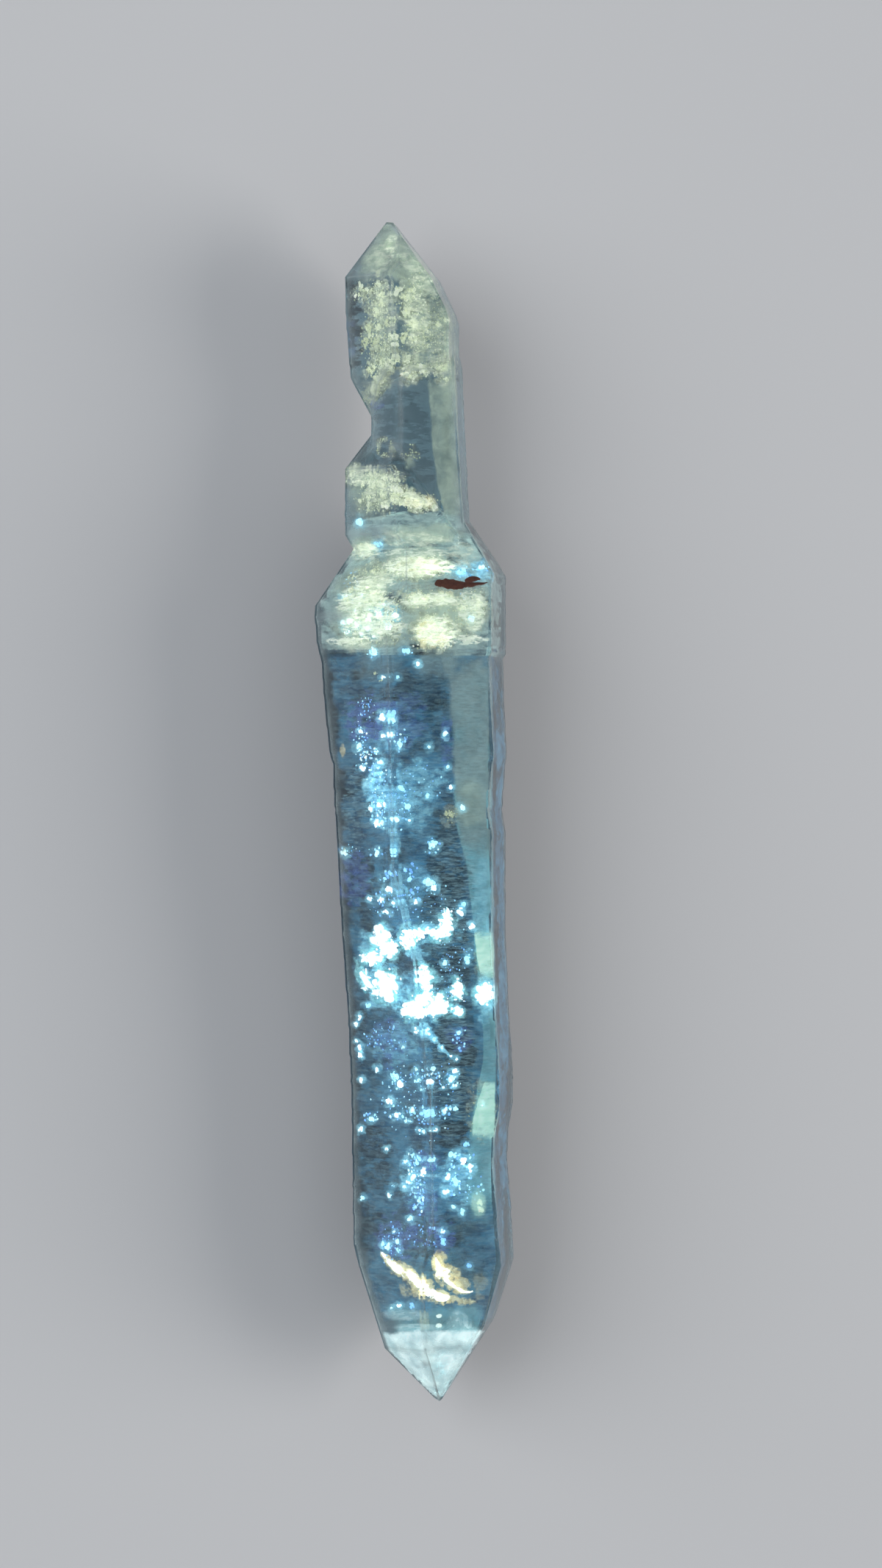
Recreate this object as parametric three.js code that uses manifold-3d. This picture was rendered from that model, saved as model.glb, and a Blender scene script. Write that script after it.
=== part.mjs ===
// A petroleum quartz crystal: one doubly terminated piece of rock crystal, grown from four parallel
// quartz individuals that run into each other. A slim head stands on a short stem, the stem rises from
// a stub with its own sloping top, and all three grow out of the long main prism, which tapers in
// ledges and steep faces to the lower point. Sizes are in millimetres. The long axis of the crystal
// (quartz's c axis) runs along +Y with the head at +Y. The crystal lies on its back prism face, at Z = 0.
import * as THREE from "three";
import { ConvexGeometry } from "three/addons/geometries/ConvexGeometry.js";
import { mergeVertices } from "three/addons/utils/BufferGeometryUtils.js";
import Module from "manifold-3d";

const wasm = await Module();
wasm.setup();

const HALF_LENGTH = 21; // the crystal is 42 mm from point to point
const BACK = 3.16; // from the main axis to the face that the crystal lies on
const VIEW_TURN = THREE.MathUtils.degToRad(20); // the outlines were read this far round from the front face
const BAND_TILT = THREE.MathUtils.degToRad(6); // how far the bevelled band leans off the front face
const SIXTH = Math.PI / 3;

// The faces round the c axis, by the direction that each one faces: 0 is up, and positive is to +X.
const TURN = {
  left: -SIXTH,
  front: 0,
  band: BAND_TILT,
  right: SIXTH,
  backRight: 2 * SIXTH,
  back: 3 * SIXTH,
  backLeft: 4 * SIXTH,
};
const ROUND = ["left", "front", "band", "right", "backRight", "back", "backLeft"];

// The value at y of a line through hand-set points, each [y, value], listed from the head downwards.
function along(points, y) {
  if (y >= points[0][0]) return points[0][1];
  for (let i = 1; i < points.length; i++) {
    const [high, atHigh] = points[i - 1];
    const [low, atLow] = points[i];
    if (y >= low) return atLow + ((atHigh - atLow) * (y - low)) / (high - low);
  }
  return points[points.length - 1][1];
}

// How far each face stands from the axis, worked out from where the crystal's long edges lie across
// the view. "depth" is the front face's own distance, and "backRight" is set by hand.
function faceDistances({ leftEdge, frontEdge, bandEdge, rightEdge, depth, back, backRight }) {
  const near = Math.cos(VIEW_TURN) / (2 * Math.sin(SIXTH));
  const far = Math.sin(VIEW_TURN);
  const left = ((near + far) * depth - frontEdge) / (2 * near);
  const bandFoot = (bandEdge - Math.sin(VIEW_TURN) * depth) / Math.cos(VIEW_TURN);
  return {
    left,
    front: depth,
    band: Math.sin(BAND_TILT) * bandFoot + Math.cos(BAND_TILT) * depth,
    right: (rightEdge - (near - far) * backRight) / (near + far),
    backRight,
    back,
    backLeft: (-leftEdge - (near - far) * left) / (near + far),
  };
}

// Growth ledges: prism faces of quartz are crossed by steps where growth stopped and went on. Their
// heights and strengths are spread unevenly by the golden ratio, and each face has its share of the depth.
const LEDGE_DEPTH = 0.036;
const LEDGE_RISER = 0.12; // how long the step itself is, along the axis
const LEDGE_LEAST = 0.1; // the faintest ledge's share of the depth
const LEDGE_SHARE = { left: 0.8, front: 0.12, band: 0.1, right: 0.8, backRight: 0.7, back: 0, backLeft: 0.8 };
const GOLDEN = 0.618034;

function ledgeHeights(high, low, spacing) {
  const heights = [];
  let y = high;
  for (let i = 1; y > low; i++) {
    heights.push(y);
    y -= spacing * (0.35 + 1.3 * ((i * GOLDEN) % 1));
  }
  return heights;
}

// The ledges' saw-tooth at y: a face leans out a little as it runs down, then steps back in.
function ledgeAt(heights, y) {
  for (let i = 1; i < heights.length; i++) {
    const top = heights[i - 1];
    const foot = heights[i];
    if (y > foot) {
      const climb = (top - y) / (top - foot - LEDGE_RISER);
      const drop = (y - foot) / LEDGE_RISER;
      const strength = LEDGE_LEAST + (1 - LEDGE_LEAST) * ((i * i * GOLDEN) % 1);
      return strength * Math.min(1, Math.max(0, Math.min(climb, drop))) - 0.5;
    }
  }
  return 0;
}

// A geometry as a manifold solid.
function solidOf(geometry) {
  const bare = geometry.clone();
  bare.deleteAttribute("normal");
  bare.deleteAttribute("uv");
  const merged = mergeVertices(bare, 1e-5);
  return new wasm.Manifold(
    new wasm.Mesh({
      numProp: 3,
      vertProperties: new Float32Array(merged.attributes.position.array),
      triVerts: new Uint32Array(merged.index.array),
    }),
  );
}

// Where two neighbouring faces of a cross-section meet, in X and Z from the axis.
function corner(turnA, distanceA, turnB, distanceB) {
  const scale = Math.sin(turnB - turnA);
  return [
    (distanceB * Math.cos(turnA) - distanceA * Math.cos(turnB)) / scale,
    (distanceA * Math.sin(turnB) - distanceB * Math.sin(turnA)) / scale,
  ];
}

// The prism of one individual: cross-sections stacked along Y and skinned, with flat ends.
function prismSolid(axis, faces, heights, distancesAt) {
  const positions = [];
  const indices = [];
  const sides = faces.length;
  for (const y of heights) {
    const distances = distancesAt(y);
    faces.forEach((face, k) => {
      const next = faces[(k + 1) % sides];
      const [x, z] = corner(TURN[face], distances[face], TURN[next], distances[next]);
      positions.push(axis.x + x, y, axis.z + z);
    });
  }
  for (let ring = 0; ring + 1 < heights.length; ring++) {
    for (let k = 0; k < sides; k++) {
      const a = ring * sides + k;
      const b = ring * sides + ((k + 1) % sides);
      indices.push(a, b, a + sides, b, b + sides, a + sides);
    }
  }
  const lastRing = (heights.length - 1) * sides;
  for (let k = 1; k + 1 < sides; k++) {
    indices.push(0, k + 1, k);
    indices.push(lastRing, lastRing + k, lastRing + k + 1);
  }
  const geometry = new THREE.BufferGeometry();
  geometry.setAttribute("position", new THREE.Float32BufferAttribute(positions, 3));
  geometry.setIndex(indices);
  return solidOf(geometry);
}

// A sloping face that closes an end: it looks the way of its prism face, leans in at "lean" degrees
// to the axis, and would cut that axis at height "peak". "end" is 1 for the head's end, -1 for the foot's.
function slope(axis, face, peak, lean, end) {
  const tilt = THREE.MathUtils.degToRad(lean);
  const normal = new THREE.Vector3(
    Math.cos(tilt) * Math.sin(TURN[face]),
    end * Math.sin(tilt),
    Math.cos(tilt) * Math.cos(TURN[face]),
  );
  return new THREE.Plane().setFromNormalAndCoplanarPoint(normal, new THREE.Vector3(axis.x, peak, axis.z));
}

// The convex solid inside a set of planes, which closes one or both ends of a prism.
const REACH = 30; // past every individual
function solidInside(planes) {
  const all = [...planes];
  for (const direction of [
    [1, 0, 0],
    [0, 1, 0],
    [0, 0, 1],
  ]) {
    all.push(new THREE.Plane(new THREE.Vector3(...direction), -REACH));
    all.push(new THREE.Plane(new THREE.Vector3(...direction).negate(), -REACH));
  }
  const corners = [];
  for (let i = 0; i < all.length; i++) {
    for (let j = i + 1; j < all.length; j++) {
      for (let k = j + 1; k < all.length; k++) {
        const cross = new THREE.Vector3().crossVectors(all[j].normal, all[k].normal);
        const volume = all[i].normal.dot(cross);
        if (Math.abs(volume) < 1e-6) continue;
        const point = cross.multiplyScalar(-all[i].constant);
        point.addScaledVector(new THREE.Vector3().crossVectors(all[k].normal, all[i].normal), -all[j].constant);
        point.addScaledVector(new THREE.Vector3().crossVectors(all[i].normal, all[j].normal), -all[k].constant);
        point.divideScalar(volume);
        if (all.every((plane) => plane.distanceToPoint(point) < 1e-6)) corners.push(point);
      }
    }
  }
  return solidOf(new ConvexGeometry(corners));
}

// Ring heights for a prism: its ledges with the foot of each step, the points of its outlines, and
// an even spacing between them, so that no ring lies closer to the next than half a riser.
function ringHeights(high, low, ledges, outlines, spacing) {
  const wanted = [high, low];
  for (let y = high; y > low; y -= spacing) wanted.push(y);
  for (const y of ledges) wanted.push(y, y + LEDGE_RISER);
  for (const points of outlines) for (const [y] of points) wanted.push(y);
  const sorted = wanted.filter((y) => y <= high && y >= low).sort((a, b) => a - b);
  return sorted.filter((y, i) => i === 0 || y - sorted[i - 1] > LEDGE_RISER / 2);
}

// Where an individual's axis stands, from its place across the view and its depth.
function axisAt(across, z) {
  return { x: (across - Math.sin(VIEW_TURN) * z) / Math.cos(VIEW_TURN), z: z + BACK };
}

// The main prism carries the collar at its head end, the raised bevelled band down its front right,
// and the taper to the lower point. Each outline is [y, offset from the main axis across the view].
function mainCrystal() {
  const axis = { x: 0, z: BACK };
  const leftOutline = [
    [7.4, -3.42],
    [5.95, -3.28],
    [5.3, -3.13],
    [4.3, -3.07],
    [2.2, -2.86],
    [1.75, -2.72],
    [0.8, -2.69],
    [-1.3, -2.57],
    [-4.3, -2.42],
    [-7.5, -2.19],
    [-10, -2.1],
    [-14.6, -2.03],
  ];
  const frontOutline = [
    [7.4, -0.8],
    [2.2, -0.66],
    [-1.9, -0.56],
    [-5, 0.17],
    [-7.7, 0.45],
    [-9.8, 0.73],
    [-14.3, 0.78],
  ];
  const bandOutline = [
    [5.75, 1.9],
    [5.55, 1.36],
    [2, 1.31],
    [-0.6, 1.62],
    [-1.9, 1.95],
    [-4.8, 2.25],
    [-7.7, 2.54],
    [-9, 2.56],
    [-10, 2.3],
    [-12, 1.93],
    [-14.3, 1.8],
  ];
  const rightOutline = [
    [8.1, 3.42],
    [5.7, 3.42],
    [5.6, 3.33],
    [3.9, 3.37],
    [2.2, 3.46],
    [0.8, 3.33],
    [0.1, 3.29],
    [-0.7, 3.42],
    [-4.3, 3.42],
    [-7.5, 3.56],
    [-9.2, 3.68],
    [-10.4, 3.68],
    [-11.4, 3.52],
    [-12.4, 3.48],
    [-14, 3.6],
    [-15.9, 3.72],
  ];
  const depth = [
    [5.75, 3.2],
    [5.6, 3.1],
    [-4, 3.02],
    [-10, 2.93],
    [-14.6, 2.87],
  ];
  const backRightDistance = [
    [5.75, 2.85],
    [-2, 2.9],
    [-9.8, 3.2],
    [-16, 3.38],
  ];
  const ledges = ledgeHeights(9, -17.5, 0.72);
  const faces = ROUND;
  const outlines = [leftOutline, frontOutline, bandOutline, rightOutline, depth, backRightDistance];
  const heights = ringHeights(14, -22, ledges, outlines, 1.1);
  const prism = prismSolid(axis, faces, heights, (y) => {
    const distances = faceDistances({
      leftEdge: along(leftOutline, y),
      frontEdge: along(frontOutline, y),
      bandEdge: along(bandOutline, y),
      rightEdge: along(rightOutline, y),
      depth: along(depth, y),
      backRight: along(backRightDistance, y),
      back: BACK,
    });
    for (const face of faces) distances[face] += LEDGE_DEPTH * LEDGE_SHARE[face] * ledgeAt(ledges, y);
    return distances;
  });
  const point = axisAt(0.96, -0.1);
  const shoulders = [
    slope(axis, "left", 12.42, 31.5, 1),
    slope(axis, "backLeft", 12.42, 31.5, 1),
    slope(axis, "front", 12.35, 36, 1),
    slope(axis, "right", 13.56, 32.4, 1),
    slope(axis, "backRight", 13.34, 33, 1),
    slope(axis, "back", 12.6, 35, 1),
  ];
  const steepFaces = [
    slope(point, "left", -25.1, 15.9, -1),
    slope(point, "backLeft", -25.1, 15.9, -1),
    slope(point, "front", -24.75, 16.2, -1),
    slope(point, "right", -24.35, 17, -1),
    slope(point, "backRight", -24.35, 17, -1),
    slope(point, "back", -24.5, 16.4, -1),
  ];
  const pointFaces = [
    slope(point, "left", -HALF_LENGTH, 41.5, -1),
    slope(point, "backLeft", -HALF_LENGTH - 0.05, 41, -1),
    slope(point, "front", -HALF_LENGTH - 0.1, 38, -1),
    slope(point, "right", -HALF_LENGTH - 0.25, 31.6, -1),
    slope(point, "backRight", -HALF_LENGTH - 0.1, 31.5, -1),
    slope(point, "back", -HALF_LENGTH, 37, -1),
  ];
  return prism.intersect(solidInside([...shoulders, ...steepFaces, ...pointFaces]));
}

// The stub at the foot of the stem: its left side stands clear and slopes up to the notch.
function stubCrystal() {
  const axis = axisAt(-0.09, 0.1);
  const size = 2.05;
  const ledges = ledgeHeights(13, 8, 0.6);
  const faces = ROUND.filter((face) => face !== "band");
  const heights = ringHeights(16, 4, ledges, [], 1.2);
  const prism = prismSolid(axis, faces, heights, (y) => {
    const distances = {};
    for (const face of faces) distances[face] = size + LEDGE_DEPTH * LEDGE_SHARE[face] * ledgeAt(ledges, y);
    return distances;
  });
  return prism.intersect(
    solidInside([
      slope(axis, "left", 15.2, 34.5, 1),
      slope(axis, "backLeft", 15.2, 34.5, 1),
      slope(axis, "front", 14.7, 36.9, 1),
      slope(axis, "right", 12.75, 35, 1),
      slope(axis, "backRight", 13.2, 35, 1),
      slope(axis, "back", 14.2, 38, 1),
      slope(axis, "left", 6.2, 29, -1),
      slope(axis, "backLeft", 6.2, 29, -1),
      slope(axis, "front", 7.35, 48, -1),
    ]),
  );
}

// The stem between stub and head, set to the right so that a notch is left under the head.
function stemCrystal() {
  const axis = axisAt(0.33, 0.17);
  const depth = 1.585;
  const rightOutline = [
    [15.1, 1.56],
    [13, 1.66],
    [11.2, 1.75],
    [10.2, 1.82],
    [8, 1.9],
  ];
  const ledges = ledgeHeights(15.4, 9, 0.8);
  const heights = ringHeights(17.5, 6, ledges, [rightOutline], 1.1);
  const prism = prismSolid(axis, ROUND, heights, (y) => {
    const distances = faceDistances({
      leftEdge: -1.72,
      frontEdge: -0.6,
      bandEdge: 0.24,
      rightEdge: along(rightOutline, y),
      depth,
      backRight: 1.5,
      back: 1.6,
    });
    for (const face of ROUND) distances[face] += LEDGE_DEPTH * LEDGE_SHARE[face] * ledgeAt(ledges, y);
    return distances;
  });
  return prism.intersect(
    solidInside([
      slope(axis, "right", 22, 13, 1),
      slope(axis, "backRight", 22, 13, 1),
      slope(axis, "front", 18.2, 32, 1),
      slope(axis, "left", 18.2, 32, 1),
    ]),
  );
}

// The head: a small complete crystal whose point leans left because its right slope grew largest.
function headCrystal() {
  const axis = axisAt(-0.26, 0.2);
  const ledges = ledgeHeights(18.6, 13, 0.85);
  const faces = ROUND.filter((face) => face !== "band");
  const size = [
    [19, 1.9],
    [17.3, 1.85],
    [15.6, 1.72],
    [14.6, 1.6],
    [13, 1.5],
  ];
  const heights = ringHeights(22, 12, ledges, [size], 1.2);
  const prism = prismSolid(axis, faces, heights, (y) => {
    const distances = {};
    for (const face of faces) {
      const plain = face === "left" || face === "backLeft" ? along(size, y) : size[1][1];
      distances[face] = plain + LEDGE_DEPTH * LEDGE_SHARE[face] * ledgeAt(ledges, y);
    }
    return distances;
  });
  const bluntTop = new THREE.Plane().setFromNormalAndCoplanarPoint(
    new THREE.Vector3(0.3, 0.95, 0).normalize(),
    new THREE.Vector3(axis.x - 0.5, HALF_LENGTH, axis.z),
  );
  return prism.intersect(
    solidInside([
      slope(axis, "left", 21.85, 33.7, 1),
      slope(axis, "backLeft", 21.85, 33.7, 1),
      slope(axis, "front", 21.75, 38, 1),
      slope(axis, "back", 21.35, 37, 1),
      slope(axis, "right", 20.63, 36.6, 1),
      slope(axis, "backRight", 20.63, 36.6, 1),
      slope(axis, "right", 21.7, 24.2, 1),
      slope(axis, "backRight", 21.75, 24.2, 1),
      slope(axis, "right", 24.1, 15.5, 1),
      bluntTop,
      slope(axis, "left", 11.9, 26.9, -1),
      slope(axis, "backLeft", 12.1, 26.9, -1),
      slope(axis, "front", 14.05, 43, -1),
      slope(axis, "back", 13.75, 43, -1),
    ]),
  );
}

// The four individuals are one crystal, so they are joined and then set with the middle of the
// bounding box over the origin and the back face on Z = 0.
function crystalMesh() {
  const whole = mainCrystal().add(stubCrystal()).add(stemCrystal()).add(headCrystal());
  const { vertProperties, triVerts } = whole.getMesh();
  const geometry = new THREE.BufferGeometry();
  geometry.setAttribute("position", new THREE.Float32BufferAttribute(vertProperties, 3));
  geometry.setIndex(new THREE.Uint32BufferAttribute(triVerts, 1));
  geometry.computeBoundingBox();
  const { min, max } = geometry.boundingBox;
  geometry.translate(-(min.x + max.x) / 2, -(min.y + max.y) / 2, -min.z);
  geometry.computeVertexNormals();
  const material = new THREE.MeshStandardMaterial({
    color: new THREE.Color(0.55, 0.66, 0.74),
    roughness: 0.12,
    metalness: 0,
  });
  const mesh = new THREE.Mesh(geometry, material);
  mesh.name = "quartz_crystal";
  return mesh;
}

const crystal = new THREE.Group();
crystal.add(crystalMesh());

export default crystal;
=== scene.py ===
# A petroleum quartz crystal, lying on a pale table. Clear, blue-grey rock crystal holds sealed pockets
# of oil, a gold fracture near the lower point, and one red-brown speck. The cyan, white, cream and gold
# glow of the oil is painted light: these pockets and sheets give off light of their own, with no lamp
# that would make them glow.
# The crystal's long axis runs along Y, its head is at +Y, and it rests on its back face at Z = 0.
import math
import random

import bmesh
import bpy
from mathutils import Matrix, Vector, noise
from mathutils.bvhtree import BVHTree
from mathutils.kdtree import KDTree


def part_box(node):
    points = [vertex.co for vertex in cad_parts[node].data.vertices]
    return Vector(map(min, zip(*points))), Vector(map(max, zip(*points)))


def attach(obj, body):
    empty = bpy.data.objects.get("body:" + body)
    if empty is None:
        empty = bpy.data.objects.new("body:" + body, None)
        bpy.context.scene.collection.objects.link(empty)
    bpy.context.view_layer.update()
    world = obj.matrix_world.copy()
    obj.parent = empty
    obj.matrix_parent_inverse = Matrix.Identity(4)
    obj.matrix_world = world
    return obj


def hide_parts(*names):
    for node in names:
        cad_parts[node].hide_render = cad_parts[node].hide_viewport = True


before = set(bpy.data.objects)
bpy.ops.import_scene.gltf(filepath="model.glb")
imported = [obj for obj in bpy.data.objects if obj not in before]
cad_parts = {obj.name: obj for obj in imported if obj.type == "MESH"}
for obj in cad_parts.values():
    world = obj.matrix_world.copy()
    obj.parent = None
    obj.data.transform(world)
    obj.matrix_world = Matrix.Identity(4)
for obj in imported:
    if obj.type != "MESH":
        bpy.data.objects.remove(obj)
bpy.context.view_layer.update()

MM = 0.001

# The camera
# It looks down on the crystal from 20 degrees to the left of overhead, with the crystal upright in the
# picture. Everything that is sealed in the quartz is placed along the camera's sight lines, so this
# section comes first.
VIEW_TURN = math.radians(20)
AXIS = Vector((-0.115, 0, 3.16)) * MM
ACROSS = Vector((math.cos(VIEW_TURN), 0, math.sin(VIEW_TURN)))
ALONG = Vector((0, 1, 0))
TOWARDS_EYE = ACROSS.cross(ALONG)
PICTURE_MIDDLE = ACROSS * 1.094 + ALONG * 1.05
EYE_DISTANCE = 155.5
EYE = AXIS + (PICTURE_MIDDLE + TOWARDS_EYE * EYE_DISTANCE) * MM


def in_scene(name, data):
    """A new object in the scene, made of a camera, a mesh or a light."""
    thing = bpy.data.objects.new(name, data)
    bpy.context.scene.collection.objects.link(thing)
    return thing


camera_data = bpy.data.cameras.new("camera")
camera_data.lens = 100
camera_data.sensor_width = 36
camera_data.clip_start = 10 * MM
camera_data.clip_end = 4
camera = in_scene("camera", camera_data)
camera.matrix_world = Matrix.Translation(EYE) @ Matrix((ACROSS, ALONG, TOWARDS_EYE)).transposed().to_4x4()
bpy.context.scene.camera = camera

# The quartz crystal
# One doubly terminated rock crystal of four individuals that grew into each other. Prism faces of
# quartz carry fine growth lines across their length, so the faces are cut into narrow bands and each
# band is moved by a little under a hundredth of a millimetre. The body is clear glass-like quartz.
BAND_HEIGHT = 0.11 * MM
STRIP_WIDTH = 0.55 * MM
LINE_DEPTH = 0.006 * MM
LINE_SCALE = (250, 3600, 250)
FINE_LINE_SCALE = (700, 9000, 700)
FINE_LINE_HEIGHT = 0.012 * MM
SOFT_EDGE = 0.07 * MM
SHARP_ANGLE = math.radians(20)
EDGE_STEP = 0.06 * MM
RIM_WIDTH = 0.4 * MM
TOP_EDGES = 4.9 * MM
TOP_RIM = 0.2
IOR = 1.544


def add(tree, kind, inputs=None, **settings):
    """Puts one node in a tree. An input is a plain value, or another node's output socket."""
    node = tree.nodes.new(kind)
    for name, value in settings.items():
        setattr(node, name, value)
    for socket, value in (inputs or {}).items():
        if isinstance(value, bpy.types.NodeSocket):
            tree.links.new(value, node.inputs[socket])
        else:
            node.inputs[socket].default_value = value
    return node


def maths(tree, operation, *values, **settings):
    """The result of a sum on values."""
    return add(tree, "ShaderNodeMath", dict(enumerate(values)), operation=operation, **settings).outputs[0]


def product(tree, *values):
    """Values multiplied together."""
    result = values[0]
    for value in values[1:]:
        result = maths(tree, "MULTIPLY", result, value)
    return result


def stretched(tree, vector, by):
    """A vector multiplied by another one, part by part."""
    return add(tree, "ShaderNodeVectorMath", {0: vector, 1: by}, operation="MULTIPLY").outputs[0]


def scaled(tree, vector, by):
    """A vector multiplied by a value."""
    return add(tree, "ShaderNodeVectorMath", {0: vector, "Scale": by}, operation="SCALE").outputs[0]


def ranged(tree, value, low, high, to_low=0.0, to_high=1.0, **settings):
    """A value moved from one range to another."""
    inputs = {"Value": value, "From Min": low, "From Max": high, "To Min": to_low, "To Max": to_high}
    return add(tree, "ShaderNodeMapRange", inputs, **settings).outputs[0]


def noise_at(tree, place, scale, detail, roughness=0.5, distortion=0.0):
    """A noise's node: its first output is a value and its second a colour."""
    shape = {"Scale": scale, "Detail": detail, "Roughness": roughness, "Distortion": distortion}
    return add(tree, "ShaderNodeTexNoise", {"Vector": place, **shape})


def geometry_tree(name, inputs):
    """A Geometry Nodes tree with one geometry input and output, and named inputs for its sizes."""
    tree = bpy.data.node_groups.new(name, "GeometryNodeTree")
    tree.interface.new_socket("Geometry", in_out="INPUT", socket_type="NodeSocketGeometry")
    tree.interface.new_socket("Geometry", in_out="OUTPUT", socket_type="NodeSocketGeometry")
    for label, kind in inputs.items():
        tree.interface.new_socket(label, in_out="INPUT", socket_type="NodeSocket" + kind)
    return tree


def finish_tree(tree, geometry, material):
    """Ends a tree in Realize Instances and Set Material."""
    real = add(tree, "GeometryNodeRealizeInstances", {0: geometry})
    coated = add(tree, "GeometryNodeSetMaterial", {0: real.outputs[0], "Material": material})
    add(tree, "NodeGroupOutput", {0: coated.outputs[0]})


def grown(source, tree, values, name):
    """The plain mesh object that a tree makes of a source mesh."""
    maker = in_scene(name + "_source", source)
    modifier = maker.modifiers.new("grow", "NODES")
    modifier.node_group = tree
    for socket in tree.interface.items_tree:
        if socket.in_out == "INPUT" and socket.name in values:
            modifier[socket.identifier] = values[socket.name]
    bpy.context.view_layer.update()
    ready = maker.evaluated_get(bpy.context.evaluated_depsgraph_get())
    mesh = bpy.data.meshes.new_from_object(ready)
    bpy.data.objects.remove(maker)
    mesh.name = name
    return in_scene(name, mesh)


def mesh_of(body, name):
    """A bmesh as a finished mesh."""
    mesh = bpy.data.meshes.new(name)
    body.to_mesh(mesh)
    body.free()
    return mesh


def whole_mesh(node):
    """A CAD node's mesh as a bmesh with its loose triangles joined."""
    joined = bmesh.new()
    joined.from_mesh(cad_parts[node].data)
    bmesh.ops.remove_doubles(joined, verts=joined.verts, dist=0.0002 * MM)
    return joined


def cut(body, direction, low, high, step):
    """Cuts new edges into a bmesh where planes across a direction pass through it. The planes are a
    step apart, nudged a little so that no two gaps are alike."""
    chance = random.Random(4)
    value = low + step
    while value < high - step / 2:
        place = direction * (value + chance.uniform(-0.3, 0.3) * step)
        everything = body.verts[:] + body.edges[:] + body.faces[:]
        bmesh.ops.bisect_plane(body, geom=everything, dist=1e-9, plane_co=place, plane_no=direction)
        value += step


def edge_points(body):
    """Points closely spaced along the crystal's sharp edges, in a tree that finds the nearest one."""
    places = []
    for edge in body.edges:
        if len(edge.link_faces) == 2 and edge.calc_face_angle_signed(0) > SHARP_ANGLE:
            start, end = (vert.co for vert in edge.verts)
            count = max(1, math.ceil(edge.calc_length() / EDGE_STEP))
            places.extend(start.lerp(end, step / count) for step in range(count + 1))
    tree = KDTree(len(places))
    for number, place in enumerate(places):
        tree.insert(place, number)
    tree.balance()
    return tree


plain_crystal = whole_mesh("quartz_crystal")
sharp_edges = edge_points(plain_crystal)
LOW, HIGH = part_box("quartz_crystal")
SIDEWAYS = Vector((1, 0, 0))
UP = Vector((0, 0, 1))


def mark_rims(body):
    """Marks each point of a mesh with how near a sharp edge it is: 1 on the edge, 0 past the rim.
    The long edges on top of the crystal get a fifth of the mark that the edges at its sides get, which
    form its outline. The mark makes the faces rougher near the edges, and in the milky skin it paints
    the pale highlight that the outline catches."""
    rim = body.verts.layers.float.new("rim")
    for vert in body.verts:
        away = sharp_edges.find(vert.co)[2]
        on_top = vert.co.z > TOP_EDGES
        vert[rim] = max(0.0, 1 - away / RIM_WIDTH) * (TOP_RIM if on_top else 1.0)


def banded_crystal():
    """The crystal's mesh with its faces cut into the narrow bands that carry the growth lines."""
    body = whole_mesh("quartz_crystal")
    cut(body, ALONG, LOW.y, HIGH.y, BAND_HEIGHT)
    cut(body, SIDEWAYS, LOW.x, HIGH.x, STRIP_WIDTH)
    mark_rims(body)
    return mesh_of(body, "quartz_bands")


def growth_line_tree():
    """Moves the prism faces in and out by a noise that is long across the crystal and short along it."""
    tree = geometry_tree("growth_lines", {"Line Depth": "Float", "Material": "Material"})
    start = add(tree, "NodeGroupInput")
    place = add(tree, "GeometryNodeInputPosition").outputs[0]
    normal = add(tree, "GeometryNodeInputNormal").outputs[0]
    lines = noise_at(tree, stretched(tree, place, LINE_SCALE), 1.0, 2.0, 0.6)
    centred = ranged(tree, lines.outputs[0], 0.3, 0.7, -0.5, 0.5)
    slope = add(tree, "ShaderNodeSeparateXYZ", {0: normal}).outputs[1]
    on_prism = ranged(tree, maths(tree, "ABSOLUTE", slope), 0.22, 0.3, 1.0, 0.15)
    offset = scaled(tree, normal, product(tree, centred, start.outputs["Line Depth"], on_prism))
    moved = add(tree, "GeometryNodeSetPosition", {0: start.outputs[0], "Offset": offset})
    flat = add(tree, "GeometryNodeSetShadeSmooth", {0: moved.outputs[0], "Shade Smooth": False})
    finish_tree(tree, flat.outputs[0], start.outputs["Material"])
    return tree


def shader_group(name, inputs, outputs):
    """A shader node group with named inputs and outputs, and its two end nodes."""
    tree = bpy.data.node_groups.new(name, "ShaderNodeTree")
    for in_out, sockets in (("INPUT", inputs), ("OUTPUT", outputs)):
        for label, kind in sockets.items():
            tree.interface.new_socket(label, in_out=in_out, socket_type="NodeSocket" + kind)
    return tree, tree.nodes.new("NodeGroupInput"), tree.nodes.new("NodeGroupOutput")


def growth_pattern_group():
    """Fine growth lines as a height, and a soft mottle for how rough the faces are."""
    outputs = {"Lines": "Float", "Mottle": "Float"}
    tree, start, end = shader_group("growth_pattern", {"Place": "Vector"}, outputs)
    lines = noise_at(tree, stretched(tree, start.outputs[0], FINE_LINE_SCALE), 1.0, 4.0, 0.55)
    mottle = noise_at(tree, start.outputs[0], 1400.0, 5.0, 0.6)
    tree.links.new(lines.outputs[0], end.inputs["Lines"])
    tree.links.new(mottle.outputs[0], end.inputs["Mottle"])
    return tree


growth_pattern = growth_pattern_group()


def new_material(name):
    """A material with its empty node tree, its output node and its Object coordinates."""
    material = bpy.data.materials.new(name)
    material.use_nodes = True
    tree = material.node_tree
    tree.nodes.clear()
    output = add(tree, "ShaderNodeOutputMaterial")
    return material, tree, output, add(tree, "ShaderNodeTexCoord").outputs["Object"]


def carried(tree, name):
    """A value that a mesh carries at its points."""
    return add(tree, "ShaderNodeAttribute", attribute_name=name).outputs["Fac"]


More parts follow.
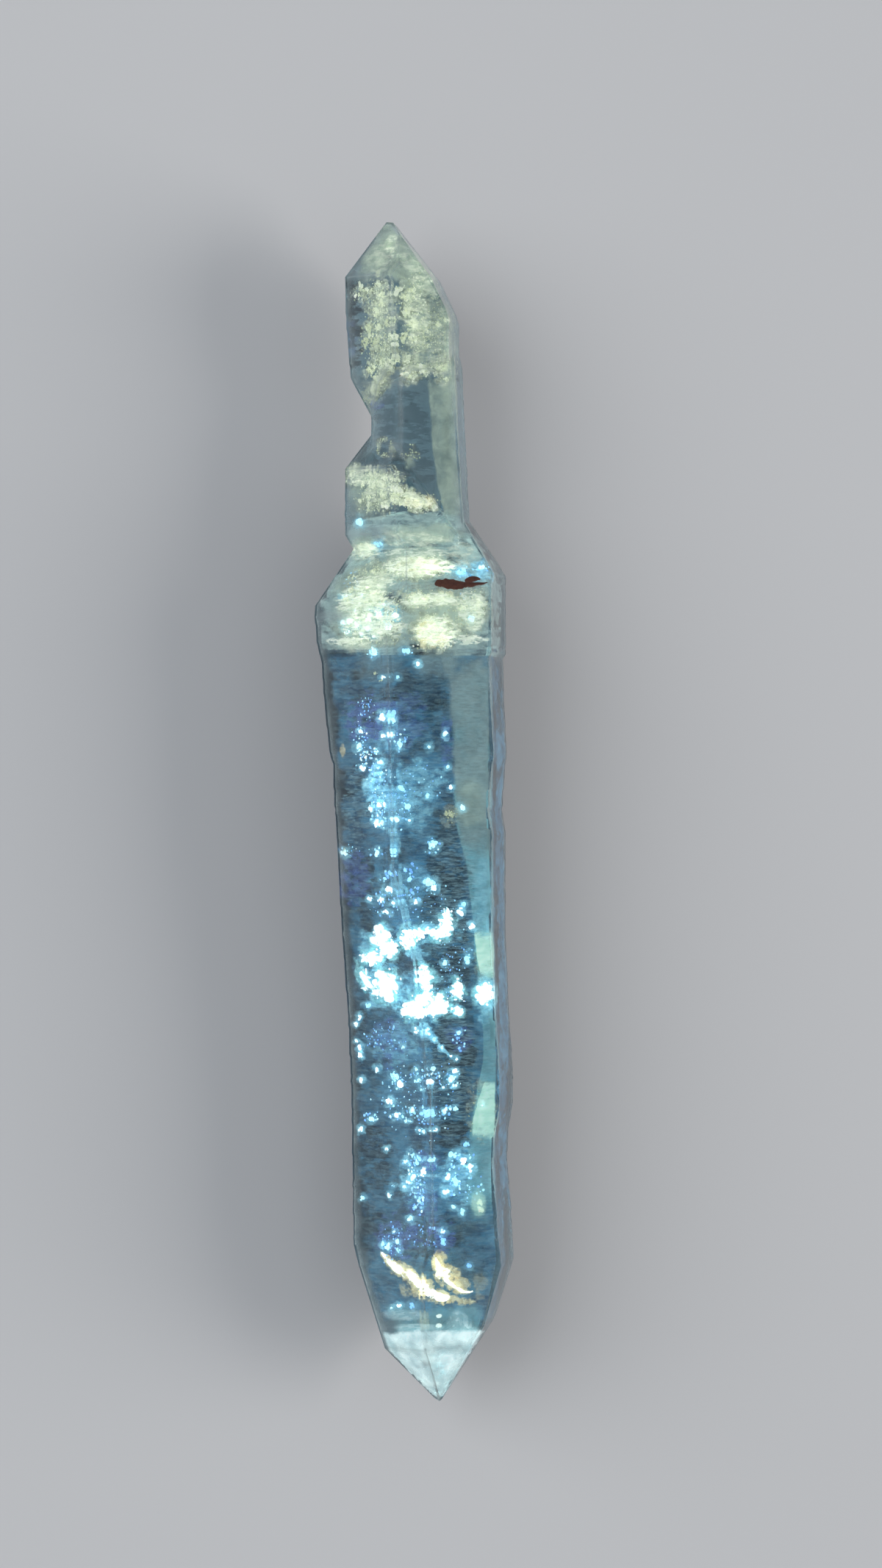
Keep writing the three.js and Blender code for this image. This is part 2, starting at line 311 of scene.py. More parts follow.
def quartz_material():
    """Clear quartz: see-through, a little blue-grey in depth, with soft edges and fine growth lines."""
    material, tree, output, place = new_material("clear_quartz")
    pattern = add(tree, "ShaderNodeGroup", {"Place": place}, node_tree=growth_pattern)
    edge = add(tree, "ShaderNodeBevel", {"Radius": SOFT_EDGE}, samples=4)
    bump = add(
        tree,
        "ShaderNodeBump",
        {
            "Strength": 0.25,
            "Distance": FINE_LINE_HEIGHT,
            "Height": pattern.outputs["Lines"],
            "Normal": edge.outputs[0],
        },
    )
    smooth = ranged(tree, pattern.outputs["Mottle"], 0.35, 0.7, 0.01, 0.1)
    quartz = add(
        tree,
        "ShaderNodeBsdfPrincipled",
        {
            "Base Color": (0.93, 0.97, 1.0, 1),
            "Roughness": maths(tree, "MULTIPLY_ADD", carried(tree, "rim"), 0.3, smooth),
            "IOR": IOR,
            "Transmission Weight": 1.0,
            "Normal": bump.outputs[0],
        },
    )
    shadow = add(tree, "ShaderNodeLightPath").outputs["Is Shadow Ray"]
    lets_through = add(tree, "ShaderNodeBsdfTransparent", {"Color": (0.26, 0.36, 0.42, 1)})
    mix = add(tree, "ShaderNodeMixShader", {0: shadow, 1: quartz.outputs[0], 2: lets_through.outputs[0]})
    depth = add(tree, "ShaderNodeVolumeAbsorption", {"Color": (0.1, 0.47, 0.58, 1), "Density": 420.0})
    tree.links.new(mix.outputs[0], output.inputs["Surface"])
    tree.links.new(depth.outputs[0], output.inputs["Volume"])
    return material


quartz_values = {"Line Depth": LINE_DEPTH, "Material": quartz_material()}
crystal = grown(banded_crystal(), growth_line_tree(), quartz_values, "quartz_body")
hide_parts("quartz_crystal")
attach(crystal, "root")

# The milky skin
# Just under its faces the quartz is cloudy with cavities too fine to see: strongly in the head and the
# collar, faintly along the body, and most along every edge. The extra cloud along the edges is a painted
# highlight for the pale rims that the crystal's outline catches, and the whole cloud gives off a little
# light of its own, a painted glow. It is one thin shell that follows the whole crystal a tenth of a
# millimetre down.
SKIN_DEPTH = 0.1 * MM
SKIN_STEP = 0.35 * MM
MILKINESS = [
    (21.1, 0.5), (19.0, 0.3), (15.6, 0.25), (14.4, 0.1), (12.6, 0.1), (12.0, 0.25), (9.4, 0.3),
    (5.9, 0.3), (5.5, 0.12), (-12.0, 0.1), (-15.0, 0.2), (-18.6, 0.4), (-21.1, 0.5),
]


def between(rows, at, column=1):
    """The value in a column of rows listed from the head down, at a place between their first values."""
    if at >= rows[0][0]:
        return rows[0][column]
    for upper, lower in zip(rows, rows[1:]):
        if at >= lower[0]:
            share = (at - lower[0]) / (upper[0] - lower[0])
            return lower[column] + (upper[column] - lower[column]) * share
    return rows[-1][column]


def skin_mesh():
    """A shell under the crystal's faces. Its tone says how milky it is, and its rim how near an edge."""
    shell = whole_mesh("quartz_crystal")
    cut(shell, ALONG, LOW.y, HIGH.y, SKIN_STEP)
    cut(shell, SIDEWAYS, LOW.x, HIGH.x, SKIN_STEP)
    cut(shell, UP, LOW.z, HIGH.z, SKIN_STEP)
    mark_rims(shell)
    shell.normal_update()
    fade = shell.verts.layers.float.new("fade")
    tone = shell.verts.layers.float.new("tone")
    inward = [vert.co - vert.normal * SKIN_DEPTH for vert in shell.verts]
    for vert, place in zip(shell.verts, inward):
        vert.co = place
        vert[fade] = 1.0
        vert[tone] = between(MILKINESS, place.y / MM)
    return mesh_of(shell, "milky_skin_edge_glow")


def cloud_group():
    """A veil's pattern. Its cover is full in the middle, nothing at its rim and broken by a noise
    between, and its light goes up and down in patches and from grain to grain."""
    tree, start, end = shader_group(
        "cloud",
        {"Place": "Vector", "Fade": "Float", "Grain": "Float", "Break": "Float", "Stretch": "Float"},
        {"Cover": "Float", "Light": "Float"},
    )
    fade = start.outputs["Fade"]
    grain = start.outputs["Grain"]
    shape = add(tree, "ShaderNodeCombineXYZ", {0: 1.0, 1: start.outputs["Stretch"], 2: 1.0})
    place = stretched(tree, start.outputs["Place"], shape.outputs[0])
    coarse = noise_at(tree, place, grain, 5.0, 0.62)
    uneven = ranged(tree, coarse.outputs[0], 0.38, 0.62, -1.0, 1.0, clamp=False)
    total = maths(tree, "ADD", product(tree, uneven, start.outputs["Break"]), fade)
    soft = ranged(tree, total, 0.1, 0.95, interpolation_type="SMOOTHSTEP")
    inside = ranged(tree, fade, 0.0, 0.35, interpolation_type="SMOOTHSTEP")
    patches = noise_at(tree, place, product(tree, grain, 1.9), 4.0, 0.6, 0.6)
    tree.links.new(product(tree, soft, inside), end.inputs["Cover"])
    tree.links.new(ranged(tree, patches.outputs[0], 0.36, 0.64), end.inputs["Light"])
    return tree


cloud = cloud_group()


def blend(tree, share, first, second):
    """A colour between two others."""
    mix = add(tree, "ShaderNodeMix", {0: share, 6: (*first, 1), 7: (*second, 1)}, data_type="RGBA")
    return mix.outputs[2]


def veil_material(name, dim, bright, strength, cover, grain, breaking, stretch=1.0, rim=0.0):
    """A veil's material: its dim and bright colours, its glow (light of its own, a painted glow), how much
    it covers, how fine, broken and drawn out across the crystal it is, and how much more it covers along
    the crystal's edges, which paints a pale highlight there."""
    material, tree, output, place = new_material(name)
    pattern = {"Grain": grain, "Break": breaking, "Stretch": stretch}
    where = {"Place": place, "Fade": carried(tree, "fade")}
    shape = add(tree, "ShaderNodeGroup", {**where, **pattern}, node_tree=cloud)
    most = product(tree, carried(tree, "tone"), cover)
    alpha = maths(tree, "MULTIPLY", shape.outputs["Cover"], most, use_clamp=True)
    if rim > 0:
        alpha = maths(tree, "MULTIPLY_ADD", carried(tree, "rim"), rim, alpha, use_clamp=True)
    colour = blend(tree, shape.outputs["Light"], dim, bright)
    veil_shader = add(
        tree,
        "ShaderNodeBsdfPrincipled",
        {
            "Base Color": colour,
            "Roughness": 0.7,
            "Alpha": alpha,
            "Emission Color": colour,
            "Emission Strength": strength,
        },
    )
    tree.links.new(veil_shader.outputs[0], output.inputs["Surface"])
    material.cycles.emission_sampling = "NONE"
    return material


def sealed_piece(name, mesh, material):
    """A finished mesh as a piece of the crystal."""
    mesh.materials.append(material)
    piece = in_scene(name, mesh)
    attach(piece, "root")


# Real milky cloud, with a painted glow and a painted pale highlight along the edges
milk_and_edge_glow = veil_material("milky_quartz", (0.42, 0.48, 0.48), (0.72, 0.78, 0.76), 0.3, 0.5, 800.0, 0.5, rim=0.45)
sealed_piece("milky_skin_edge_glow", skin_mesh(), milk_and_edge_glow)

# The milky bands, the collar's ground and the milky point
# Here the quartz is clouded through: smoky green down the bevelled band on the front right and across
# the foot, greyer at the top of that band, paler all over the collar, and almost white in the lower
# point. All of it gives off light of its own, a painted glow, and the band's green-grey cloud also stands
# in for the soft sheen that the bevelled face mirrors, a painted reflection. They are sheets that follow
# the faces, up to half a millimetre down.
LEAST_ROOM = 0.06
crystal_surface = BVHTree.FromBMesh(plain_crystal)
plain_crystal.free()


def seat(across, along, depth):
    """The point inside the quartz that the camera sees at (across, along) from the axis, in millimetres.
    It lies that deep under the face in front of it, along the sight line bent by the quartz, and has
    at least a little room to the nearest face."""
    aim = AXIS + (ACROSS * across + ALONG * along) * MM
    sight = (aim - EYE).normalized()
    hit, normal, _, _ = crystal_surface.ray_cast(EYE, sight)
    if hit is None:
        hit, normal, _, _ = crystal_surface.find_nearest(aim)
        return hit - normal * depth * MM
    facing = -sight.dot(normal)
    bent = sight / IOR + normal * (facing / IOR - math.sqrt(1 - (1 - facing * facing) / IOR**2))
    point = hit + bent * (depth * MM / -bent.dot(normal))
    near, outward, _, _ = crystal_surface.find_nearest(point)
    room = (near - point).dot(outward)
    if room < LEAST_ROOM * MM:
        point = near - outward * LEAST_ROOM * MM
    return point


def oval(across, along, half_across, half_along, turn=0):
    """An oval sheet's outline: its middle, its half sizes in millimetres and its turn in degrees."""
    spin = math.radians(turn)

    def spot(s, t):
        u = s * half_across
        v = t * half_along
        u_turned = across + u * math.cos(spin) - v * math.sin(spin)
        v_turned = along + u * math.sin(spin) + v * math.cos(spin)
        return u_turned, v_turned, max(0.0, 1 - s * s - t * t)

    return spot


def strip(rows, side=5, end=8):
    """A long sheet's outline, from rows of its place along the crystal and its left and right edges.
    It fades out towards its sides and ends, the more sharply the higher these two values are."""

    def spot(s, t):
        along = rows[0][0] + (rows[-1][0] - rows[0][0]) * (t + 1) / 2
        left = between(rows, along, 1)
        right = between(rows, along, 2)
        across = left + (right - left) * (s + 1) / 2
        return across, along, max(0.0, min(1.0, side * (1 - abs(s)), end * (1 - abs(t))))

    return spot


def sheets_mesh(name, sheets):
    """One mesh of thin sheets under the faces. Each sheet has an outline, a depth, its cells across and
    along, and the values that its points carry: tone, and for scattered pockets their crowd and grain."""
    made = bmesh.new()
    layers = {key: made.verts.layers.float.new(key) for key in ("fade", "tone", "crowd", "grain")}
    for sheet in sheets:
        wide, long = sheet["cells"]
        rows = []
        for j in range(long + 1):
            row = []
            for i in range(wide + 1):
                across, along, fade = sheet["outline"](2 * i / wide - 1, 2 * j / long - 1)
                vert = made.verts.new(seat(across, along, sheet["depth"]))
                vert[layers["fade"]] = fade
                for key in ("tone", "crowd", "grain"):
                    vert[layers[key]] = sheet.get(key, 0)
                row.append(vert)
            rows.append(row)
        for j in range(long):
            for i in range(wide):
                corners = [rows[j][i], rows[j][i + 1], rows[j + 1][i + 1], rows[j + 1][i]]
                if max(corner[layers["fade"]] for corner in corners) > 0:
                    made.faces.new(corners)
    loose = [vert for vert in made.verts if not vert.link_faces]
    bmesh.ops.delete(made, geom=loose, context="VERTS")
    return mesh_of(made, name)


def sheet_piece(name, sheets, material):
    """Sheets as one piece of the crystal."""
    sealed_piece(name, sheets_mesh(name, sheets), material)


def veil(outline, tone=1.0, depth=0.5, cells=(14, 14)):
    """One veil: its outline, how thick it is, how deep it lies, and its cells across and along."""
    return {"outline": outline, "tone": tone, "depth": depth, "cells": cells}


# Each row of a strip: its place along the crystal, its left edge and its right edge
BODY_BAND = [
    (5.6, 1.4, 2.95), (0.0, 1.5, 2.95), (-1.9, 1.95, 2.95), (-4.8, 2.25, 3.05), (-7.7, 2.55, 3.1),
    (-9.0, 2.55, 3.1), (-11.0, 2.1, 3.05), (-12.5, 1.95, 3.0), (-15.0, 1.8, 3.1),
]
GREY_FOOT = [
    (-17.4, -1.3, 3.2), (-18.9, -0.9, 2.7),
]
# Real smoky cloud, with a painted glow and a painted sheen in place of the bevelled band's reflection
smoke_and_sheen = veil_material("milky_band_sheen_glow", (0.14, 0.34, 0.37), (0.26, 0.53, 0.56), 0.78, 0.8, 500.0, 0.4)
smoky_sheen_sheets = [
    veil(strip(BODY_BAND, end=5), 0.85, 0.5, (8, 60)),
    veil(strip(GREY_FOOT, 3, 2), 0.6, 0.3, (16, 8)),
]
sheet_piece("milky_bands_sheen_glow", smoky_sheen_sheets, smoke_and_sheen)

BAND_TOP = [
    (6.0, 0.9, 2.95), (4.6, 1.2, 2.95), (0.0, 1.5, 2.95), (-1.9, 1.95, 2.95),
]
# Painted glow over the grey cloud at the top of the bevelled band
grey_glow = veil_material("grey_band_glow", (0.2, 0.27, 0.27), (0.34, 0.42, 0.4), 0.6, 0.85, 400.0, 0.4)
grey_sheets = [
    veil(strip(BAND_TOP, 3, 3), 1.0, 0.45, (12, 30)),
    veil(oval(-1.2, 5.2, 1.4, 0.8), 0.4),
    veil(oval(1.0, 5.3, 1.2, 0.7), 0.6),
]
sheet_piece("grey_band_glows", grey_sheets, grey_glow)

COLLAR_GROUND = [
    (10.9, 0.3, 1.85), (10.4, -2.3, 1.95), (9.6, -2.2, 2.6), (8.8, -2.9, 3.2), (7.9, -3.45, 3.5),
    (6.0, -3.4, 3.45), (5.6, -3.2, 3.35),
]
# Painted glow: the collar's pale ground gives off light of its own
pale_glow = veil_material("pale_collar_glow", (0.3, 0.4, 0.39), (0.6, 0.74, 0.68), 0.7, 0.85, 1100.0, 0.5, 2.5)
pale_sheets = [
    veil(strip(COLLAR_GROUND, 9, 12), 0.85, 0.5, (30, 40)),
    veil(oval(2.1, 9.4, 0.6, 0.9, 30), 0.7, 0.4),
    veil(oval(-2.0, 9.3, 0.7, 0.5), 0.6, 0.4),
]
sheet_piece("pale_collar_glow", pale_sheets, pale_glow)

MILKY_POINT = [
    (-18.4, -1.15, 2.85), (-19.5, -0.65, 2.5), (-20.3, 0.1, 1.75), (-21.0, 0.75, 1.15),
]
# Painted glow over the real milky cloud of the lower point
ice_glow = veil_material("milky_point_glow", (0.5, 0.68, 0.7), (0.86, 1.0, 0.98), 0.95, 1.2, 900.0, 0.3)
icy_glow_sheets = [
    veil(strip(MILKY_POINT, 14, 6), 0.85, 0.12, (24, 24)),
    veil(oval(1.1, -19.8, 0.9, 1.2, 20), 1.0, 0.2),
    veil(oval(0.3, -19.3, 0.8, 0.7, 20), 0.6, 0.16),
    veil(oval(1.9, -18.6, 0.6, 1.0, 25), 0.4, 0.3),
    veil(oval(-0.3, -17.9, 1.0, 0.25), 0.28, 0.3),
    veil(oval(0.2, -18.35, 1.3, 0.16), 0.28, 0.3),
]
sheet_piece("milky_point_glow", icy_glow_sheets, ice_glow)

# The blue-grey fog and the fine streaks
# The body is never quite clear: a thin fog fills it from the collar to the foot and down its right side,
# and under its faces lie hair-fine streaks, drawn out across the crystal like its growth lines. Fog and
# streaks give off blue to cyan light of their own, a painted glow.
BODY_WIDTH = [
    (6.0, -3.1, 3.3), (1.5, -2.65, 3.2), (-1.2, -2.5, 3.2), (-5.0, -2.2, 3.2), (-8.0, -2.05, 3.3),
    (-13.0, -1.95, 3.3), (-16.0, -1.7, 3.5), (-18.4, -1.1, 2.9),
]
RIGHT_SIDE = [
    (5.4, 3.05, 3.55), (-1.2, 3.0, 3.35), (-7.7, 3.15, 3.55), (-12.0, 3.1, 3.45), (-16.0, 3.3, 3.8),
]
# Painted glow: a thin blue fog that gives off light of its own
fog_glow = veil_material("blue_fog_glow", (0.02, 0.08, 0.15), (0.09, 0.28, 0.42), 0.75, 0.85, 600.0, 0.5, 1.6)
foggy_glow_sheets = [
    veil(strip(BODY_WIDTH, 8, 20), 0.85, 0.9, (24, 80)),
    veil(strip(RIGHT_SIDE, 3, 3), 1.2, 0.15, (8, 80)),
    veil(oval(0.5, 1.1, 1.5, 1.2), 0.8, 0.8),
    veil(oval(0.2, -1.6, 1.7, 1.2), 0.7, 0.8),
    veil(oval(0.2, -4.9, 1.7, 2.4), 0.8, 0.8),
    veil(oval(0.2, -9.5, 1.7, 2.2), 0.5, 0.8),
    veil(oval(0.8, -13.0, 1.7, 1.7), 0.7, 0.8),
]
sheet_piece("blue_fog_glow", foggy_glow_sheets, fog_glow)

# Painted glow: hair-fine streaks that give off cyan light of their own
hair_glow = veil_material("fine_streak_glows", (0.02, 0.05, 0.07), (0.5, 0.75, 0.8), 0.5, 0.36, 1900.0, 1.2, 5.0)
streak_glow_sheets = [
    veil(strip(BODY_WIDTH, 6, 10), 0.6, 0.4, (24, 80)),
    veil(oval(-1.9, 0.3, 0.6, 1.6), 0.7, 0.4),
    veil(oval(1.5, -3.2, 1.0, 3.0), 0.8, 0.4),
    veil(oval(1.4, -9.0, 1.0, 3.0), 0.8, 0.4),
]
sheet_piece("fine_streak_glows", streak_glow_sheets, hair_glow)

# The dark ripples and the dark ground
# Beside the bevelled band, under the front face, lie dark rippled sheets, drawn out across the crystal
# and finely broken. They are painted shade: they give off no light and darken the quartz behind them.
# Dark ground of the same painted shade lies deeper at the body's left, in its foot and under the collar,
# along the head's left edge, and as a faint shade in the stem.
RIPPLES = [
    (1.0, 0.9, 1.5), (-1.5, 0.5, 1.9), (-4.5, 0.2, 2.1), (-6.0, 0.6, 2.2), (-8.5, 0.7, 2.4),
    (-12.5, 0.6, 2.0),
]
STEM_SHADE = [
    (15.2, -1.6, 0.7), (13.0, -1.4, 0.85), (11.7, -0.6, 1.0),
]
# Painted shade: dark sheets with no glow that darken the quartz behind them
shade = veil_material("rippled_painted_shade", (0.005, 0.012, 0.02), (0.03, 0.07, 0.1), 0.0, 0.75, 1500.0, 0.9, 2.4)
painted_shade_sheets = [
    veil(strip(RIPPLES, 2.5, 4), 0.8, 0.5, (12, 60)),
    veil(oval(1.5, -2.3, 0.8, 0.9), 0.7, 0.45),
    veil(oval(1.6, -5.1, 0.8, 0.9), 0.9, 0.45),
    veil(oval(1.7, -8.5, 0.8, 0.7), 0.8, 0.45),
    veil(oval(1.6, -11.6, 0.7, 0.8), 0.8, 0.45),
    veil(oval(-0.4, -5.2, 0.6, 0.8), 0.7, 0.45),
    veil(oval(-1.4, -7.6, 0.9, 3.2), 0.5, 0.7),
    veil(oval(-1.9, -2.4, 0.8, 1.3), 1.0, 0.7),
    veil(oval(-1.3, -12.3, 0.8, 1.5), 0.8, 0.7),
    veil(oval(0.3, -15.1, 1.8, 1.1), 0.9, 0.7),
    veil(oval(-1.4, 3.6, 1.0, 1.1), 0.8, 0.8),
    veil(oval(0.5, 4.1, 1.3, 1.3), 0.6, 0.7),
    veil(oval(-2.15, 17.6, 0.55, 2.2, 3), 1.2, 0.35),
    veil(strip(STEM_SHADE, 2, 3), 0.5, 0.4, (10, 24)),
    veil(oval(-0.15, 14.0, 0.3, 0.06), 1.2, 0.2),
]
sheet_piece("rippled_painted_shade", painted_shade_sheets, shade)

# The oil pockets
# Sealed cavities, most a tenth of a millimetre wide, filled with petroleum. Their cyan to white glow is
# painted light: the pockets give off light of their own.
# The finest lie in swarms under the prism faces. Each swarm is an oval patch that follows the faces, and
# a Geometry Nodes tree scatters small angular pockets over it. The larger ones are placed one by one.
WIDEST_POCKET = 0.11
PER_SQUARE_METRE = 1e6
BUMP_SCALE = 16000.0


def chosen(tree, low, high, seed):
    """A random value for each point."""
    return add(tree, "FunctionNodeRandomValue", {2: low, 3: high, 8: seed}, data_type="FLOAT").outputs[1]


def pocket_tree(scattered):
    """Puts small angular pockets over a patch, or one on each point. The patch or the points say how
    big and how bright they are."""
    sizes = dict.fromkeys(("Flatness", "Width", "Roughness", "Dimmest"), "Float")
    tree = geometry_tree(
        "scattered_pockets" if scattered else "placed_pockets",
        {**sizes, "Faces": "Int", "Seed": "Int", "Material": "Material"},
    )
    start = add(tree, "NodeGroupInput")
    values = {}
    for key in ("fade", "tone", "crowd", "grain"):
        found = add(tree, "GeometryNodeInputNamedAttribute", {"Name": key}, data_type="FLOAT")
        values[key] = found.outputs[0]
    spin = chosen(tree, 0.0, math.tau, start.outputs["Seed"])
    if scattered:
        points = add(
            tree,
            "GeometryNodeDistributePointsOnFaces",
            {
                0: start.outputs[0],
                "Density": product(tree, values["fade"], values["crowd"], PER_SQUARE_METRE),
                "Seed": start.outputs["Seed"],
            },
            distribute_method="RANDOM",
        )
        turn = add(tree, "FunctionNodeAxisAngleToRotation", {0: (0, 0, 1), 1: spin})
        facing = add(
            tree,
            "FunctionNodeRotateRotation",
            {0: points.outputs["Rotation"], 1: turn.outputs[0]},
            rotation_space="LOCAL",
        )
    else:
        points = add(tree, "GeometryNodeMeshToPoints", {0: start.outputs[0]})
        facing = add(tree, "FunctionNodeAxisAngleToRotation", {0: (0.3, 0.2, 1), 1: spin})
    pocket = add(tree, "GeometryNodeMeshIcoSphere", {"Radius": 1.0, "Subdivisions": start.outputs["Faces"]})
    sides = {0: start.outputs["Width"], 1: 1.0, 2: start.outputs["Flatness"]}
    shape = add(tree, "ShaderNodeCombineXYZ", sides)
    size = product(tree, chosen(tree, 0.4, 1.25, 12), values["grain"], MM)
    placed = add(
        tree,
        "GeometryNodeInstanceOnPoints",
        {
            "Points": points.outputs[0],
            "Instance": pocket.outputs[0],
            "Rotation": facing.outputs[0],
            "Scale": scaled(tree, shape.outputs[0], size),
        },
    )
    glow = product(tree, chosen(tree, start.outputs["Dimmest"], 1.0, 13), values["tone"])
    marked = add(
        tree,
        "GeometryNodeStoreNamedAttribute",
        {0: placed.outputs[0], "Name": "glow", "Value": glow},
        data_type="FLOAT",
        domain="INSTANCE",
    )
    real = add(tree, "GeometryNodeRealizeInstances", {0: marked.outputs[0]})
    bumps = noise_at(tree, add(tree, "GeometryNodeInputPosition").outputs[0], BUMP_SCALE, 1.0)
    from_middle = {0: bumps.outputs[1], 1: (0.5, 0.5, 0.5)}
    centred = add(tree, "ShaderNodeVectorMath", from_middle, operation="SUBTRACT")
    reach = product(tree, start.outputs["Roughness"], values["grain"], MM)
    offset = scaled(tree, centred.outputs[0], reach)
    moved = add(tree, "GeometryNodeSetPosition", {0: real.outputs[0], "Offset": offset})
    finish_tree(tree, moved.outputs[0], start.outputs["Material"])
    return tree


def glow_material(name, stops, strength, body):
    """A filling that glows by its own light. The stops are its colours, from the dimmest pocket to the
    brightest one."""
    material, tree, output, _ = new_material(name)
    ramp = add(tree, "ShaderNodeValToRGB", {0: carried(tree, "glow")})
    elements = ramp.color_ramp.elements
    for element, (position, colour) in zip(elements, (stops[0], stops[-1])):
        element.position = position
        element.color = (*colour, 1)
    for position, colour in stops[1:-1]:
        elements.new(position).color = (*colour, 1)
    oil = add(
        tree,
        "ShaderNodeBsdfPrincipled",
        {
            "Base Color": (*body, 1),
            "Roughness": 0.4,
            "Emission Color": ramp.outputs[0],
            "Emission Strength": strength,
        },
    )
    tree.links.new(oil.outputs[0], output.inputs["Surface"])
    material.cycles.emission_sampling = "NONE"
    return material


BLUE_STOPS = [
    (0.0, (0.05, 0.14, 0.42)),
    (0.35, (0.17, 0.42, 0.88)),
    (0.62, (0.4, 0.8, 0.95)),
    (0.85, (0.85, 1.0, 1.0)),
    (1.0, (1.0, 1.0, 1.0)),
]
# Painted glow: the oil gives off light of its own, dim blue to white
blue_glow = glow_material("blue_oil_glow", BLUE_STOPS, 1.6, (0.5, 0.75, 0.85))
scattered_pockets = pocket_tree(True)
placed_pockets = pocket_tree(False)


def swarm(across, along, half_across, half_along, crowd, grain, tone=1.0, depth=0.35, turn=0):
    """One swarm of pockets: its middle and half sizes, pockets per square millimetre, and their radius."""
    outline = oval(across, along, half_across, half_along, turn)
    return {**veil(outline, tone, depth, (8, 8)), "crowd": crowd, "grain": grain}


def swarm_piece(name, swarms, look):
    """Swarms of scattered pockets as one piece."""
    piece = grown(sheets_mesh(name + "_patches", swarms), scattered_pockets, look, name)
    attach(piece, "root")


def clusters_mesh(name, clusters, depth, seed):
    """Points for placed pockets. A cluster is its middle, its half sizes and its tone, and becomes a
    few pockets that overlap in a lumpy heap."""
    chance = random.Random(seed)
    made = bmesh.new()
    grain = made.verts.layers.float.new("grain")
    tone = made.verts.layers.float.new("tone")
    for across, along, half_across, half_along, shine in clusters:
        small = min(half_across, half_along, WIDEST_POCKET)
        count = 3 + int(half_across * half_along / small**2 * 2)
        for number in range(count):
            angle = math.tau * (number + chance.random()) / count
            out = chance.uniform(0.15, 0.75)
            u = across + math.cos(angle) * out * half_across
            v = along + math.sin(angle) * out * half_along
            vert = made.verts.new(seat(u, v, depth + chance.uniform(-0.05, 0.08)))
            vert[grain] = small * chance.uniform(0.4, 0.75)
            vert[tone] = shine
    return mesh_of(made, name)


def cluster_piece(name, clusters, seed, look, depth=0.3):
    """Placed pockets as one piece."""
    piece = grown(clusters_mesh(name + "_points", clusters, depth, seed), placed_pockets, look, name)
    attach(piece, "root")


SWARMS = [
    # under the collar
    swarm(-1.33, 5.75, 0.25, 0.25, 60, 0.035, 0.8), swarm(-0.19, 5.76, 0.32, 0.16, 60, 0.035, 0.8),
    swarm(2.56, 8.7, 0.25, 0.35, 60, 0.035, 0.7), swarm(1.82, 8.64, 0.45, 0.25, 50, 0.035, 0.65),
    swarm(1.95, 7.72, 0.25, 0.25, 40, 0.03, 0.6), swarm(-2.0, 8.0, 0.4, 0.7, 70, 0.028, 0.75),
    # upper body
    swarm(-1.55, 3.7, 0.35, 0.55, 80, 0.022, 0.75, turn=12),
    swarm(-1.75, 2.5, 0.3, 0.8, 110, 0.028, 0.9, turn=8), swarm(-1.5, 2.0, 0.45, 0.5, 90, 0.03, 1.0),
    swarm(-1.15, 1.4, 0.45, 0.35, 80, 0.03, 0.9), swarm(-1.15, 0.75, 0.45, 0.8, 60, 0.028, 0.8),
    swarm(-1.1, -0.1, 0.4, 0.5, 70, 0.035, 1.0), swarm(-2.2, -1.3, 0.5, 0.25, 50, 0.03, 0.9),
    swarm(-1.2, -1.4, 0.4, 0.3, 60, 0.03, 0.8), swarm(-0.4, 2.6, 0.3, 0.5, 50, 0.03, 0.7),
    swarm(-0.3, 0.2, 0.5, 0.9, 40, 0.028, 0.7), swarm(0.82, -1.14, 0.35, 0.35, 70, 0.035, 0.75),
    swarm(0.3, 1.2, 0.9, 0.8, 16, 0.022, 0.7),
    # middle, above the white cores
    swarm(-0.75, -2.25, 0.45, 0.35, 60, 0.05, 0.6), swarm(0.03, -2.15, 0.32, 0.38, 60, 0.05, 0.55),
    swarm(0.1, -2.95, 0.3, 0.3, 60, 0.045, 0.6), swarm(-0.9, -3.2, 0.8, 0.5, 35, 0.028, 0.7),
    swarm(0.4, -3.2, 1.5, 1.0, 20, 0.022, 0.7), swarm(1.5, -5.6, 0.7, 1.6, 40, 0.02, 0.6),
    # lower middle
    swarm(-0.9, -8.0, 0.8, 0.6, 40, 0.026, 0.55), swarm(1.75, -8.1, 0.3, 0.5, 70, 0.035, 0.65),
    swarm(-0.5, -9.5, 0.35, 0.4, 70, 0.035, 0.75), swarm(0.5, -9.45, 0.7, 0.35, 60, 0.035, 0.75),
    swarm(1.5, -9.5, 0.4, 0.4, 70, 0.035, 0.8), swarm(-0.5, -10.7, 0.45, 0.35, 50, 0.04, 0.75),
    swarm(-1.4, -10.85, 0.35, 0.2, 60, 0.035, 0.75), swarm(0.45, -10.75, 0.6, 0.35, 55, 0.035, 0.7),
    swarm(1.3, -10.6, 0.45, 0.3, 50, 0.035, 0.75), swarm(0.2, -10.0, 1.9, 1.8, 16, 0.02, 0.8),
    # lower body
    swarm(0.1, -12.4, 0.4, 0.5, 80, 0.035, 0.8), swarm(0.25, -13.3, 0.3, 0.8, 80, 0.035, 0.8),
    swarm(0.3, -14.0, 0.25, 0.4, 80, 0.045, 0.75), swarm(1.75, -12.4, 0.55, 0.45, 60, 0.035, 0.8),
    swarm(1.55, -13.2, 0.35, 0.6, 60, 0.035, 0.75), swarm(2.2, -13.4, 0.5, 0.7, 40, 0.03, 0.6),
    swarm(-0.6, -15.3, 0.55, 0.75, 60, 0.025, 0.5), swarm(0.5, -15.1, 0.8, 0.5, 40, 0.025, 0.42),
]
fine_look = dict(Flatness=0.5, Width=1.35, Roughness=0.9, Dimmest=0.2, Faces=2, Seed=5, Material=blue_glow)
swarm_piece("fine_pockets", SWARMS, fine_look)

